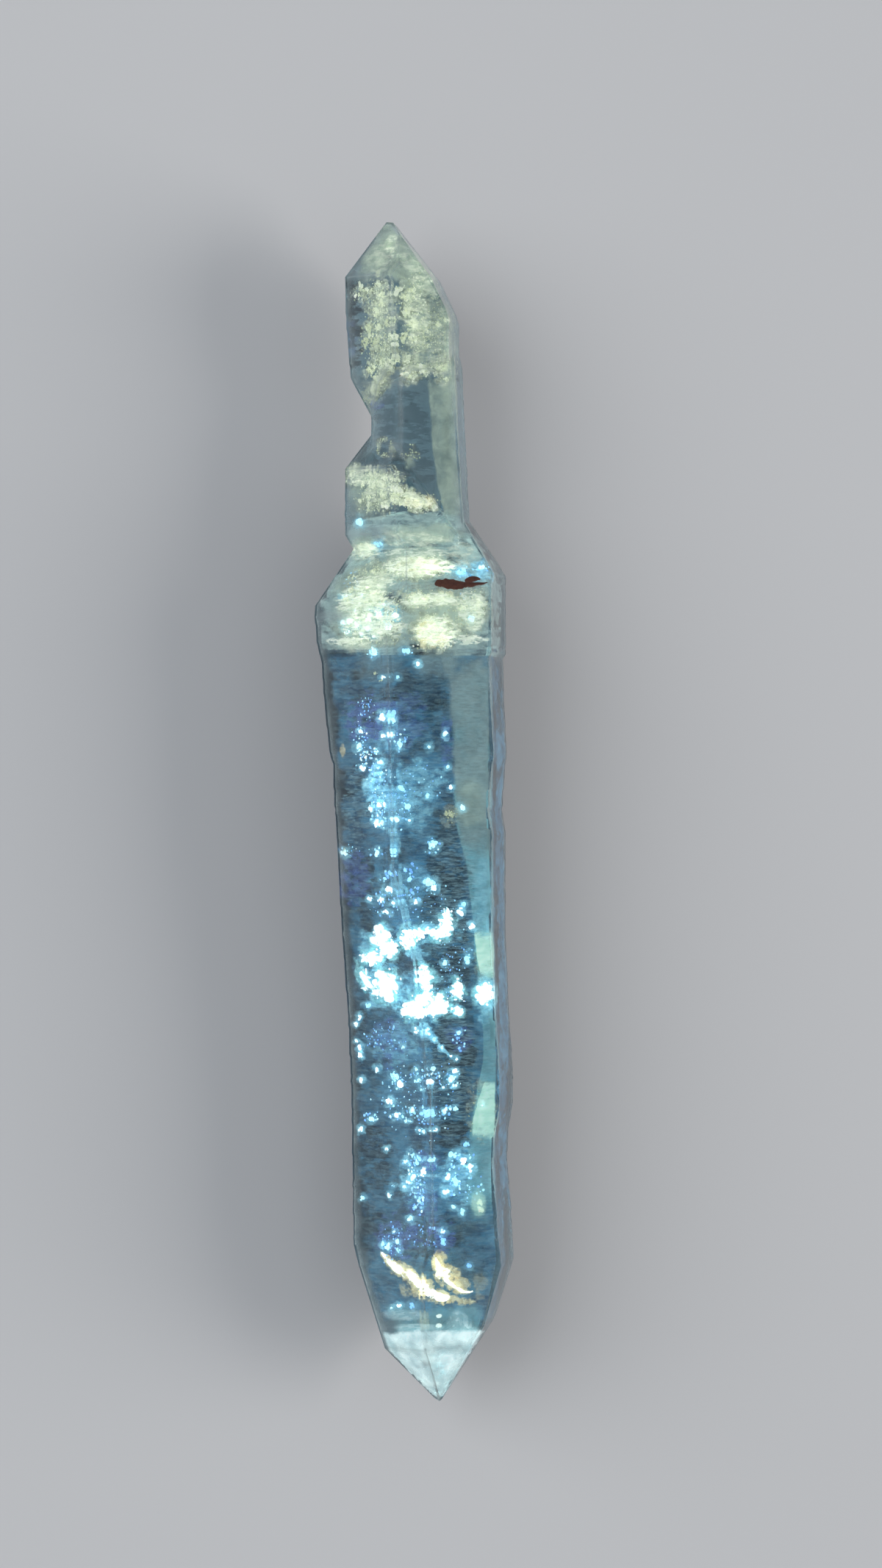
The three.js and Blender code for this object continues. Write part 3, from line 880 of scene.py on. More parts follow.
# Each heap of pockets: across, along, half across, half along and glow
BRIGHT_POCKETS = [
    # under the collar
    (2.53, 8.78, 0.1, 0.16, 0.8), (1.83, 8.65, 0.26, 0.1, 0.6), (-2.19, 6.86, 0.18, 0.16, 1),
    (-1.91, 6.71, 0.13, 0.18, 1), (-1.12, 7.07, 0.13, 0.16, 1), (-0.53, 7.07, 0.13, 0.16, 1),
    (-1.56, 6.6, 0.21, 0.1, 0.9), (-1.5, 6.92, 0.14, 0.1, 1), (-0.87, 6.66, 0.08, 0.14, 1),
    (-2.25, 6.45, 0.14, 0.08, 0.9), (-1.75, 6.42, 0.1, 0.08, 0.9), (-2.42, 6.8, 0.1, 0.12, 0.9),
    (-1.3, 6.32, 0.12, 0.06, 0.9), (-2.0, 7.25, 0.12, 0.07, 0.8), (-1.55, 7.3, 0.16, 0.06, 0.8),
    (-0.95, 7.45, 0.12, 0.06, 0.8), (-2.35, 7.75, 0.14, 0.06, 0.8), (-1.75, 7.8, 0.1, 0.08, 0.75),
    (2.17, 6.97, 0.13, 0.13, 0.6), (-1.14, 9.62, 0.16, 0.13, 0.5), (-1.82, 10.43, 0.16, 0.21, 0.7),
    (-1.27, 5.73, 0.13, 0.18, 0.7), (-0.17, 5.79, 0.21, 0.1, 0.6), (0.28, 5.34, 0.1, 0.07, 1),
    (-0.98, 4.87, 0.1, 0.08, 0.9), (-0.44, 4.87, 0.1, 0.08, 0.6),
    # upper body
    (-1.03, 3.45, 0.13, 0.18, 1), (-0.98, 2.77, 0.13, 0.09, 1), (-0.64, 3.53, 0.1, 0.12, 0.45),
    (-0.62, 3.3, 0.09, 0.08, 0.7), (-0.69, 2.82, 0.08, 0.08, 0.9), (-1.77, 2.93, 0.09, 0.08, 0.9),
    (-1.85, 2.35, 0.13, 0.18, 0.75), (-1.71, 1.61, 0.13, 0.1, 1), (-1.19, 2.22, 0.08, 0.05, 0.8),
    (-1.06, 1.82, 0.21, 0.08, 0.8), (-0.35, 2.45, 0.1, 0.16, 0.7), (-0.35, 0.91, 0.1, 0.1, 0.6),
    (0.67, 2.38, 0.09, 0.13, 0.75), (1.25, 2.85, 0.08, 0.16, 0.8), (1.33, 1.67, 0.07, 0.08, 0.7),
    (1.44, 0.93, 0.08, 0.1, 0.95), (-1.06, 0.33, 0.24, 0.1, 1), (-1.43, 0.17, 0.16, 0.13, 0.85),
    (-1.22, -0.33, 0.13, 0.13, 1), (-1.03, -0.38, 0.13, 0.1, 0.8), (-0.51, -0.22, 0.1, 0.1, 0.8),
    (-0.03, -0.25, 0.05, 0.07, 0.9), (-0.06, 0.28, 0.13, 0.13, 0.7), (0.61, 0.62, 0.13, 0.1, 0.65),
    (1.84, 0.22, 0.13, 0.12, 0.8), (0.81, -1.14, 0.21, 0.21, 0.7), (-2.34, -1.4, 0.16, 0.13, 0.75),
    (-1.2, -1.4, 0.13, 0.13, 0.7), (-0.56, -1.38, 0.08, 0.24, 0.6),
    # above the white cores
    (-0.74, -2.74, 0.21, 0.13, 1), (-1.08, -3.08, 0.16, 0.09, 1), (-1.45, -3.06, 0.1, 0.08, 1),
    (-0.61, -3.19, 0.13, 0.07, 1), (-0.85, -3.53, 0.16, 0.1, 0.9), (0.2, -3.16, 0.12, 0.09, 1),
    (0.81, -2.69, 0.13, 0.18, 1), (0.69, -2.45, 0.26, 0.16, 0.65), (1.79, -3.5, 0.1, 0.18, 0.95),
    (1.91, -3.24, 0.1, 0.1, 0.6), (2.2, -4.03, 0.1, 0.12, 1), (0.62, -4.19, 0.16, 0.18, 1),
    (1.23, -5.34, 0.1, 0.13, 0.7), (2.05, -5.18, 0.1, 0.24, 0.65), (1.72, -7.07, 0.13, 0.14, 1),
    # below the white cores
    (-1.51, -6.86, 0.16, 0.08, 0.6), (-1.82, -7.26, 0.1, 0.13, 0.9), (-1.95, -7.52, 0.08, 0.08, 0.9),
    (-1.95, -8.12, 0.07, 0.07, 0.9), (-1.82, -8.36, 0.08, 0.12, 1), (-1.79, -8.65, 0.09, 0.1, 1),
    (-1.19, -9.15, 0.1, 0.13, 0.85), (-1.74, -9.49, 0.08, 0.09, 0.95), (0.2, -7.78, 0.1, 0.13, 0.9),
    (0.62, -7.8, 0.12, 0.16, 0.8), (0.86, -8.05, 0.07, 0.09, 0.7), (1.12, -8.36, 0.06, 0.07, 0.75),
    (1.44, -8.66, 0.07, 0.06, 0.95), (-0.27, -8.36, 0.07, 0.09, 0.8), (1.72, -7.83, 0.1, 0.1, 0.7),
    (1.65, -8.78, 0.08, 0.05, 0.9), (0.2, -9.15, 0.08, 0.08, 0.7), (0.81, -9.12, 0.1, 0.08, 0.75),
    (1.57, -9.2, 0.13, 0.1, 0.95), (1.45, -9.49, 0.16, 0.1, 0.75), (1.57, -9.72, 0.1, 0.07, 0.8),
    (0.75, -9.59, 0.13, 0.12, 1), (0.25, -9.54, 0.13, 0.1, 0.7), (0.39, -9.86, 0.08, 0.05, 0.7),
    (1.17, -9.78, 0.08, 0.05, 0.8), (-0.6, -9.38, 0.18, 0.16, 0.65), (-0.38, -9.67, 0.13, 0.16, 1),
    (-0.74, -10.28, 0.18, 0.12, 1), (-0.48, -10.77, 0.18, 0.13, 1), (-0.17, -10.98, 0.16, 0.05, 0.7),
    (2.59, -10.35, 0.1, 0.16, 0.8), (-1.4, -10.91, 0.16, 0.1, 0.7), (-1.77, -11.3, 0.09, 0.14, 1),
    (0.33, -11.3, 0.09, 0.07, 0.9), (0.49, -11.35, 0.08, 0.07, 0.8), (0.91, -11.3, 0.1, 0.07, 0.95),
    (-0.85, -11.98, 0.1, 0.07, 0.9), (0.07, -10.59, 0.08, 0.1, 0.75), (1.23, -10.62, 0.1, 0.13, 0.75),
    (1.61, -10.54, 0.09, 0.08, 0.7), (0.57, -10.72, 0.24, 0.18, 0.5),
    # lower body
    (-0.17, -12.43, 0.09, 0.1, 0.75), (0.44, -12.8, 0.13, 0.21, 1), (0.28, -12.38, 0.13, 0.16, 0.6),
    (0.74, -12.38, 0.16, 0.08, 0.7), (0.1, -12.98, 0.09, 0.13, 0.85), (-0.11, -13.16, 0.09, 0.08, 0.9),
    (-0.22, -13.35, 0.08, 0.07, 0.8), (-0.62, -13.29, 0.1, 0.04, 0.7), (-0.74, -13.66, 0.08, 0.1, 0.8),
    (-1.71, -13.74, 0.09, 0.13, 0.7), (1.57, -12.19, 0.18, 0.13, 0.65), (1.87, -12.4, 0.13, 0.21, 1),
    (2.14, -12.61, 0.16, 0.24, 1), (1.36, -12.95, 0.1, 0.13, 0.95), (1.62, -13.16, 0.13, 0.26, 0.6),
    (1.24, -13.53, 0.13, 0.13, 0.9), (2.01, -11.8, 0.13, 0.1, 0.5), (1.54, -14.03, 0.1, 0.08, 0.7),
    (1.86, -14.21, 0.08, 0.16, 0.65), (0.03, -14.5, 0.13, 0.1, 0.75), (1.17, -14.92, 0.13, 0.13, 0.8),
    (1.17, -15.29, 0.08, 0.16, 0.45), (-0.59, -14.92, 0.08, 0.05, 0.75),
    (-0.48, -15.29, 0.08, 0.08, 0.7), (-0.98, -15.37, 0.08, 0.08, 0.65),
    (-0.82, -15.45, 0.13, 0.13, 0.75), (-0.43, -15.6, 0.1, 0.13, 0.6), (2.1, -16.15, 0.08, 0.08, 0.4),
    (-0.4, -17.57, 0.1, 0.08, 0.9), (-0.66, -17.65, 0.08, 0.05, 0.8), (0.04, -17.57, 0.13, 0.13, 0.4),
]
bright_look = dict(Flatness=0.8, Width=1.25, Roughness=0.7, Dimmest=0.85, Faces=2, Seed=6, Material=blue_glow)
cluster_piece("bright_pockets", BRIGHT_POCKETS, 8, bright_look)

# The white cores
# Where many pockets run together, the glow is so strong that it looks solid white. Each core is a
# ragged sheet of light with a heap of pockets over it, and a softer cyan sheet round and under it.
# Each core: across, along, half across, half along and turn
CORES = [
    (-1.05, -4.42, 0.36, 0.45, 0), (-0.8, -4.85, 0.4, 0.3, 0), (-1.4, -5.15, 0.42, 0.26, 0),
    (-0.9, -6.15, 0.52, 0.58, 0), (-1.62, -5.95, 0.12, 0.45, 30), (-0.12, -4.5, 0.26, 0.42, 0),
    (0.3, -4.3, 0.24, 0.24, 0), (0.55, -5.85, 0.3, 0.52, 0), (0.15, -6.95, 0.5, 0.44, 0),
    (0.95, -6.85, 0.5, 0.42, 0), (0.55, -6.55, 0.25, 0.3, 0), (1.3, -3.85, 0.24, 0.45, 0),
    (1.05, -4.28, 0.38, 0.24, 0), (1.68, -6.35, 0.22, 0.42, 12), (1.7, -7.05, 0.2, 0.18, 0),
    (2.66, -6.45, 0.34, 0.44, 0),
]
LUMPS = 6


def lumpy(cores, seed):
    """Each core with small lumps of it set round its edge, so that its outline is uneven."""
    chance = random.Random(seed)
    parts = []
    for across, along, half_across, half_along, turn in cores:
        parts.append((across, along, half_across * 0.85, half_along * 0.85, turn))
        for number in range(LUMPS):
            angle = math.tau * (number + chance.random()) / LUMPS
            share = chance.uniform(0.2, 0.42)
            u = across + math.cos(angle) * half_across * 0.75
            v = along + math.sin(angle) * half_along * 0.75
            parts.append((u, v, half_across * share, half_along * share, chance.uniform(0, 90)))
    return parts


core_light = veil_material("core_light", (0.75, 1.0, 1.0), (1.0, 1.0, 1.0), 1.6, 2.2, 3800.0, 0.4)
core_sheets = [veil(oval(*part), 1.0, 0.28, (10, 10)) for part in lumpy(CORES, 3)]
sheet_piece("core_sheets", core_sheets, core_light)

halo_light = veil_material("halo_light", (0.12, 0.42, 0.46), (0.5, 0.95, 0.97), 0.85, 0.85, 2600.0, 0.6)
halos = [veil(oval(a, b, w * 1.25 + 0.16, h * 1.2 + 0.16, turn), 0.8, 0.42) for a, b, w, h, turn in CORES]
sheet_piece("core_halos", halos, halo_light)

core_swarms = [swarm(a, b, w * 1.1, h * 1.1, 110, 0.035, 2.0, 0.26, turn) for a, b, w, h, turn in CORES]
core_look = dict(Flatness=0.5, Width=1.3, Roughness=1.0, Dimmest=0.3, Faces=2, Seed=9, Material=blue_glow)
swarm_piece("core_pockets", core_swarms, core_look)

# The cream skins
# Oil-stained growth skins in the head, the stub and the collar: a granular crust, cream to pale yellow,
# as fine as sugar, with dark gaps. Soft hazes lie under broken sheets of stain and a scatter of fine
# grains, and the brightest lumps are placed one by one. Two stretches of the bevelled band are minty.
# All of them give off light of their own, a painted glow, and over them lie painted glints in the
# glimmers and a painted sheen on the collar.
CREAM_STOPS = [
    (0.0, (0.18, 0.2, 0.11)),
    (0.35, (0.42, 0.46, 0.26)),
    (0.7, (0.74, 0.8, 0.55)),
    (1.0, (1.0, 1.0, 0.86)),
]
# Painted glow: cream oil that gives off light of its own
cream_glow = glow_material("cream_oil_glow", CREAM_STOPS, 0.75, (0.7, 0.7, 0.58))

STEM_BAND = [
    (15.8, 0.5, 1.7), (13.0, 0.75, 1.75), (11.6, 0.95, 1.85), (10.4, 1.2, 1.9),
]
# Each haze and each glimmer: across, along, half across, half along, tone and turn
HAZES = [
    # head: top left and top right faces, then the prism faces
    (-1.2, 19.7, 0.7, 1.05, 1.0, -38), (-1.0, 20.65, 0.5, 0.7, 1.0, -40),
    (-0.45, 19.9, 0.4, 1.0, 1.0, 0), (0.25, 19.4, 0.8, 1.4, 1.0, 35), (-1.0, 17.2, 0.6, 2.0, 0.4, 0),
    (0.5, 17.2, 1.2, 2.2, 0.5, 0), (1.35, 16.6, 0.5, 2.2, 0.35, 0),
    # stem
    (0.0, 12.55, 0.3, 0.35, 0.7, 30),
    # the beige part of the bevelled band
    (2.1, 0.4, 0.8, 1.1, 0.4, 0),
    # stub and collar
    (-1.5, 11.4, 1.0, 1.2, 0.6, 0), (0.4, 10.0, 1.9, 0.5, 0.8, 0), (-1.6, 9.6, 0.6, 0.5, 0.8, 0),
    (0.2, 8.9, 1.7, 0.8, 0.9, 0), (-1.7, 8.0, 1.5, 1.1, 0.8, 30), (-1.6, 6.6, 1.7, 1.0, 0.7, 0),
    (1.4, 7.2, 2.0, 1.5, 0.7, 0),
]
# Painted glow: soft cream hazes that give off light of their own
cream_haze_glow = veil_material("cream_haze_glow", (0.34, 0.4, 0.32), (0.66, 0.74, 0.56), 0.56, 0.8, 900.0, 0.3)
haze_glow_sheets = [veil(strip(STEM_BAND, 5, 4), 0.8, 0.3, (8, 40))]
haze_glow_sheets += [veil(oval(a, b, w, h, turn), tone, 0.3) for a, b, w, h, tone, turn in HAZES]
sheet_piece("cream_haze_glows", haze_glow_sheets, cream_haze_glow)

GLIMMERS = [
    # head: its two top faces, and the right of its front face
    (-1.0, 19.9, 0.75, 0.55, 0.4, 50), (-0.65, 20.3, 0.25, 0.5, 0.9, 0), (0.2, 19.6, 0.5, 1.1, 0.4, 40),
    (0.6, 19.0, 0.5, 0.8, 0.3, 30), (-0.9, 17.9, 0.55, 1.4, 0.3, 0), (0.2, 17.7, 0.55, 1.5, 0.45, 0),
    (1.1, 16.6, 0.6, 1.6, 0.25, 0),
    # stub
    (-1.9, 12.0, 0.5, 0.5, 0.8, 0), (-1.0, 11.6, 0.9, 0.8, 0.4, 0), (0.1, 11.2, 0.8, 0.35, 0.6, -15),
    # collar
    (0.2, 9.8, 1.7, 0.35, 0.5, 0), (-1.6, 9.45, 0.6, 0.35, 0.8, 0), (0.3, 8.85, 1.4, 0.45, 0.8, 0),
    (1.8, 9.2, 0.6, 0.7, 0.5, 30), (-1.2, 8.3, 0.9, 0.35, 0.5, 15), (-1.7, 7.6, 1.0, 0.6, 0.4, 10),
    (0.9, 7.55, 1.5, 0.3, 0.5, 0), (-1.5, 6.8, 1.1, 0.5, 0.4, 0), (0.9, 6.5, 1.0, 0.6, 0.9, 0),
    (2.3, 6.9, 0.4, 1.0, 0.4, 0), (-1.9, 6.0, 1.0, 0.3, 0.3, 0),
]
# Painted glints: cream sheets whose light of their own is brightest in fine broken specks
glimmer = veil_material("cream_glimmer", (0.34, 0.42, 0.32), (1.0, 1.0, 0.78), 1.0, 0.85, 2000.0, 0.6, 2.4)
glimmers = [veil(oval(a, b, w, h, turn), tone, 0.2) for a, b, w, h, tone, turn in GLIMMERS]
sheet_piece("cream_glimmers", glimmers, glimmer)

COLLAR_SHEEN = [
    # its upper steps, its two cream patches, and the grey ground round them
    (-1.6, 9.35, 0.7, 0.35, 0.5), (0.2, 9.3, 1.3, 0.2, 0.5), (0.3, 8.8, 1.4, 0.4, 0.9),
    (1.0, 8.75, 0.7, 0.3, 0.9), (-1.3, 8.25, 0.9, 0.25, 0.6), (-1.6, 7.5, 1.2, 0.7, 0.7),
    (-1.3, 6.7, 1.3, 0.6, 0.7), (0.6, 7.65, 1.3, 0.25, 0.7), (0.9, 6.5, 0.8, 0.6, 0.9),
    (2.2, 7.3, 0.6, 0.9, 0.5), (-2.2, 6.15, 0.9, 0.2, 0.6), (2.0, 6.2, 0.9, 0.2, 0.7),
]
# Painted sheen and glow: near-white light of its own over the collar
sheen = veil_material("collar_sheen", (0.6, 0.68, 0.5), (1.0, 1.0, 0.86), 1.25, 0.8, 3000.0, 1.5, 3.5)
sheens = [veil(oval(*place), tone, 0.16) for *place, tone in COLLAR_SHEEN]
sheet_piece("collar_sheen", sheens, sheen)

# Each patch: across, along, half across, half along, grains per square millimetre, tone and turn
CREAM_PATCHES = [
    # head, left face
    (-1.15, 18.2, 0.5, 1.1, 190, 0.8, 0), (-1.8, 18.55, 0.42, 0.3, 120, 0.8, 0),
    (-1.35, 17.0, 0.55, 0.65, 170, 0.55, 0), (-0.95, 16.3, 0.6, 0.95, 190, 0.85, -25),
    (-1.25, 15.2, 0.4, 0.85, 190, 0.8, -35),
    # head, front face
    (0.05, 18.2, 0.55, 1.1, 190, 0.8, 0), (0.35, 17.1, 0.5, 0.9, 170, 0.7, 0),
    (1.0, 17.3, 0.8, 1.7, 70, 0.5, 0), (0.0, 15.9, 0.35, 0.6, 230, 0.95, 0),
    (0.5, 15.85, 0.65, 0.3, 230, 1.0, 0), (1.25, 15.9, 0.45, 0.6, 120, 0.7, 0),
    # stub
    (-2.05, 12.1, 0.32, 0.48, 180, 0.9, 0), (-1.1, 11.95, 0.9, 0.4, 230, 0.95, -12),
    (-1.2, 11.25, 0.85, 0.6, 170, 0.8, 0), (-0.2, 11.35, 0.85, 0.34, 260, 1.0, -25),
    (0.4, 11.05, 0.65, 0.34, 260, 1.1, 0),
    # collar
    (-1.7, 9.4, 0.5, 0.4, 90, 0.6, 0), (0.0, 8.7, 1.1, 0.4, 170, 0.95, 0),
    (0.8, 8.85, 0.55, 0.4, 170, 1.1, 0), (-1.4, 8.5, 0.9, 0.45, 120, 0.8, 20),
    (-1.6, 7.6, 0.9, 0.55, 120, 0.7, 0), (-1.95, 6.8, 0.6, 0.45, 170, 0.95, 0),
    (-0.78, 6.9, 0.55, 0.45, 190, 1.0, 0), (-1.2, 6.3, 1.2, 0.36, 90, 0.7, 0),
    (0.85, 6.5, 0.85, 0.7, 190, 1.0, 0), (1.9, 7.1, 0.85, 0.85, 80, 0.6, 0),
    (0.3, 7.6, 1.1, 0.5, 90, 0.75, 0), (2.45, 7.5, 0.35, 0.6, 90, 0.75, 0),
    # stem: a small ring
    (-0.98, 13.35, 0.2, 0.12, 200, 0.7, 0), (-1.15, 13.1, 0.1, 0.26, 200, 0.75, 0),
    (-0.9, 12.8, 0.2, 0.1, 200, 0.7, 0), (-0.68, 13.1, 0.09, 0.24, 180, 0.55, 0),
    (0.05, 12.85, 0.3, 0.32, 60, 0.5, 30),
    # body
    (1.45, -0.1, 0.35, 0.4, 50, 0.5, 0), (2.6, -5.2, 0.3, 0.8, 20, 0.5, 0),
    (2.55, -10.6, 0.55, 1.05, 20, 0.5, 0),
]
# Real cream stain colour, with a painted glow of its own
cream_stain_glow = veil_material("cream_stain_glow", (0.2, 0.21, 0.14), (0.86, 0.88, 0.72), 0.42, 0.9, 2600.0, 0.7)
stain_glow_sheets = [veil(oval(a, b, w * 1.3, h * 1.3, turn), tone, 0.42) for a, b, w, h, _, tone, turn in CREAM_PATCHES]
sheet_piece("cream_stain_glows", stain_glow_sheets, cream_stain_glow)

grains = [
    swarm(a, b, w, h, crowd * 1.3, 0.03, tone, 0.3, turn)
    for a, b, w, h, crowd, tone, turn in CREAM_PATCHES
]
grain_look = dict(Flatness=0.6, Width=1.15, Roughness=1.0, Dimmest=0.1, Faces=1, Seed=21, Material=cream_glow)
swarm_piece("cream_grains", grains, grain_look)

# Each lump: across, along, half across, half along and glow
CREAM_LUMPS = [
    # head
    (-1.79, 18.81, 0.1, 0.21, 0.9), (-1.87, 18.49, 0.21, 0.1, 1), (-1.53, 18.67, 0.26, 0.1, 0.8),
    (-1.19, 19.25, 0.1, 0.16, 0.75), (-1.14, 18.88, 0.13, 0.13, 0.85), (-1.04, 18.54, 0.16, 0.13, 0.8),
    (-1.08, 18.2, 0.13, 0.18, 0.8), (-1.23, 17.91, 0.16, 0.21, 0.75), (-1.14, 17.39, 0.16, 0.18, 0.8),
    (-1.49, 17.34, 0.16, 0.18, 0.65), (-1.37, 17.07, 0.26, 0.1, 0.95), (-1.61, 16.78, 0.18, 0.24, 0.5),
    (-1.27, 16.86, 0.21, 0.18, 0.5), (-0.64, 17.02, 0.21, 0.13, 0.95), (-0.51, 16.78, 0.1, 0.13, 0.9),
    (-0.77, 17.55, 0.21, 0.21, 0.6), (-0.48, 16.18, 0.1, 0.24, 0.95), (-0.85, 16.05, 0.31, 0.21, 0.9),
    (-1.43, 15.87, 0.21, 0.21, 0.7), (-1.22, 15.52, 0.21, 0.24, 0.85), (-1.37, 15.13, 0.13, 0.31, 0.75),
    (-0.44, 18.7, 0.21, 0.16, 0.85), (-0.11, 18.44, 0.29, 0.21, 0.75), (0.1, 18.67, 0.21, 0.21, 0.7),
    (-0.14, 17.91, 0.18, 0.21, 0.65), (0.12, 17.47, 0.24, 0.24, 0.75), (-0.24, 17.02, 0.16, 0.21, 0.7),
    (0.12, 16.94, 0.16, 0.21, 0.8), (0.61, 16.71, 0.13, 0.08, 0.8), (0.99, 17.47, 0.08, 0.18, 0.7),
    (1.28, 17.6, 0.1, 0.13, 0.8), (-0.11, 16.18, 0.16, 0.21, 0.95), (-0.22, 15.71, 0.13, 0.24, 1),
    (0.39, 15.97, 0.18, 0.18, 0.95), (0.49, 15.76, 0.24, 0.07, 1), (1.17, 15.92, 0.21, 0.13, 0.8),
    (1.29, 15.5, 0.08, 0.16, 0.75),
    # stub
    (-2.13, 12.17, 0.18, 0.21, 1), (-1.98, 12.35, 0.13, 0.13, 0.9), (-1.53, 12.3, 0.13, 0.13, 0.9),
    (-1.27, 12.27, 0.16, 0.1, 0.95), (-1.3, 12.09, 0.31, 0.1, 1), (-0.93, 12.01, 0.21, 0.1, 1),
    (-0.64, 11.93, 0.21, 0.1, 0.95), (-1.71, 11.75, 0.08, 0.26, 0.7), (-1.19, 11.75, 0.31, 0.1, 0.9),
    (-0.48, 11.59, 0.26, 0.16, 1), (-0.1, 11.38, 0.21, 0.16, 0.95), (0.28, 11.12, 0.26, 0.21, 1),
    (0.65, 11.12, 0.26, 0.21, 1.1), (0.88, 10.96, 0.13, 0.1, 1), (-1.49, 11.3, 0.08, 0.1, 0.9),
    (-1.49, 11.04, 0.1, 0.16, 0.95), (-1.49, 10.83, 0.08, 0.08, 0.8), (-1.01, 11.38, 0.1, 0.21, 0.8),
    (-0.93, 11.01, 0.21, 0.16, 1), (-0.64, 11.3, 0.16, 0.21, 0.75), (-0.32, 11.04, 0.21, 0.13, 1),
    (-1.82, 11.17, 0.1, 0.1, 0.8),
    # collar
    (-1.79, 9.46, 0.37, 0.24, 0.7), (-0.18, 8.67, 0.58, 0.26, 0.95), (0.71, 8.86, 0.37, 0.24, 1.1),
    (-1.22, 8.62, 0.42, 0.16, 0.85), (-2.11, 8.44, 0.31, 0.08, 0.8), (-1.3, 7.89, 0.47, 0.13, 0.85),
    (-1.06, 7.62, 0.26, 0.26, 0.8), (0.23, 7.73, 0.63, 0.21, 0.8), (1.28, 7.81, 0.31, 0.16, 0.8),
    (1.85, 7.34, 0.24, 0.1, 0.7), (2.45, 7.52, 0.1, 0.24, 0.75), (0.52, 6.68, 0.42, 0.29, 1),
    (1.04, 6.31, 0.31, 0.29, 1.05), (0.73, 6.99, 0.47, 0.13, 0.85), (1.28, 5.97, 0.31, 0.09, 1.1),
    (-2.32, 7.65, 0.21, 0.26, 0.55), (-2.11, 7.97, 0.16, 0.16, 0.6),
    # below the collar, at the left edge, and on the bevelled band
    (-1.25, 5.0, 0.13, 0.05, 0.6), (-1.05, 4.75, 0.1, 0.06, 0.55), (-2.34, -1.35, 0.08, 0.1, 0.8),
    (1.38, -0.04, 0.16, 0.18, 0.5), (2.47, -14.03, 0.12, 0.29, 0.95),
]
lump_look = dict(Flatness=0.6, Width=1.3, Roughness=1.3, Dimmest=0.6, Faces=2, Seed=15, Material=cream_glow)
cluster_piece("cream_lumps", CREAM_LUMPS, 14, lump_look)

BAND_TINTS = [
    (-3.9, 2.2, 3.0), (-5.1, 2.35, 3.02), (-6.0, 2.5, 3.05),
]
BAND_TINTS_LOW = [
    (-9.5, 2.65, 3.05), (-10.2, 2.4, 3.05), (-11.0, 2.2, 3.05), (-11.7, 2.15, 3.05),
]
# Painted glow: pale mint light of its own on two stretches of the bevelled band
mint_glow = veil_material("pale_mint_glow", (0.38, 0.66, 0.55), (0.58, 0.84, 0.7), 1.0, 1.0, 900.0, 0.3, 2.0)
tint_glow_sheets = [
    veil(strip(BAND_TINTS, 6, 1.5), 1.0, 0.25, (12, 16)),
    veil(strip(BAND_TINTS_LOW, 6, 3), 0.85, 0.25, (12, 20)),
    veil(oval(2.45, -13.9, 0.35, 0.6), 0.6, 0.25),
]
sheet_piece("band_tint_glows", tint_glow_sheets, mint_glow)

# The blue veils
# Clouds of pockets too fine to tell apart. Each veil is a thin curved sheet under a face, see-through
# at its rim and thicker and thinner inside it. The veils give off blue to cyan light of their own, a
# painted glow. Every bright pocket has a small one round it, a painted halo of its glow.
# Each veil: across, along, half across, half along, tone and depth
VEILS = [
    (-1.2, 1.1, 0.6, 1.0, 1.4, 0.4), (-1.1, 1.0, 0.4, 0.6, 1.2, 0.35),
    (-1.15, 0.6, 0.5, 0.7, 1.4, 0.45), (0.24, 1.2, 1.3, 1.0, 0.8, 0.7), (-0.2, 0.0, 1.3, 1.0, 0.6, 0.6),
    (-0.8, 3.0, 1.2, 1.3, 0.45, 0.8), (-0.2, -2.6, 1.6, 1.0, 0.5, 0.8),
    (-1.0, -4.8, 1.2, 1.0, 0.9, 0.5), (-0.9, -6.2, 1.0, 1.0, 0.9, 0.5), (0.2, -4.5, 1.0, 0.8, 0.9, 0.5),
    (0.5, -6.6, 1.4, 1.2, 0.9, 0.5), (1.2, -4.1, 0.8, 0.8, 0.8, 0.5), (2.66, -6.6, 0.5, 1.1, 0.7, 0.3),
    (-0.6, -8.2, 1.2, 0.9, 0.6, 0.7), (0.2, -10.0, 1.9, 1.4, 0.35, 0.9),
    (0.2, -13.0, 0.7, 1.4, 0.9, 0.6), (1.8, -13.0, 1.0, 1.3, 0.8, 0.6),
    (0.2, -15.1, 1.5, 1.0, 0.25, 0.7), (2.5, 8.6, 0.5, 0.6, 0.8, 0.3), (1.8, 8.6, 0.7, 0.5, 0.8, 0.3),
    (-1.1, 9.6, 0.4, 0.4, 0.5, 0.3), (2.6, -3.5, 0.5, 2.2, 0.3, 0.3),
]


def on_route(stations, share):
    """The place on a smooth curve through stations, each a tuple of numbers, at a share of its length."""
    padded = [stations[0], *stations, stations[-1]]
    whole = share * (len(stations) - 1)
    first = min(int(whole), len(stations) - 2)
    t = whole - first
    return [
        0.5 * (2 * b + (c - a) * t + (2 * a - 5 * b + 4 * c - d) * t**2 + (3 * b - a - 3 * c + d) * t**3)
        for a, b, c, d in zip(*padded[first : first + 4])
    ]


def heading_of(before, after):
    """The direction from one place on a route to another."""
    return Vector((after[0] - before[0], after[1] - before[1])).normalized()


def trail(stations, spread=1.0):
    """A sheet's outline along a route of stations: across, along and half width."""

    def spot(s, t):
        share = (t + 1) / 2
        across, along, half = on_route(stations, share)
        heading = heading_of(
            on_route(stations, max(share - 0.01, 0)), on_route(stations, min(share + 0.01, 1))
        )
        reach = s * half * spread
        return across - heading.y * reach, along + heading.x * reach, min(1 - s * s, 6 * (1 - abs(t)))

    return spot


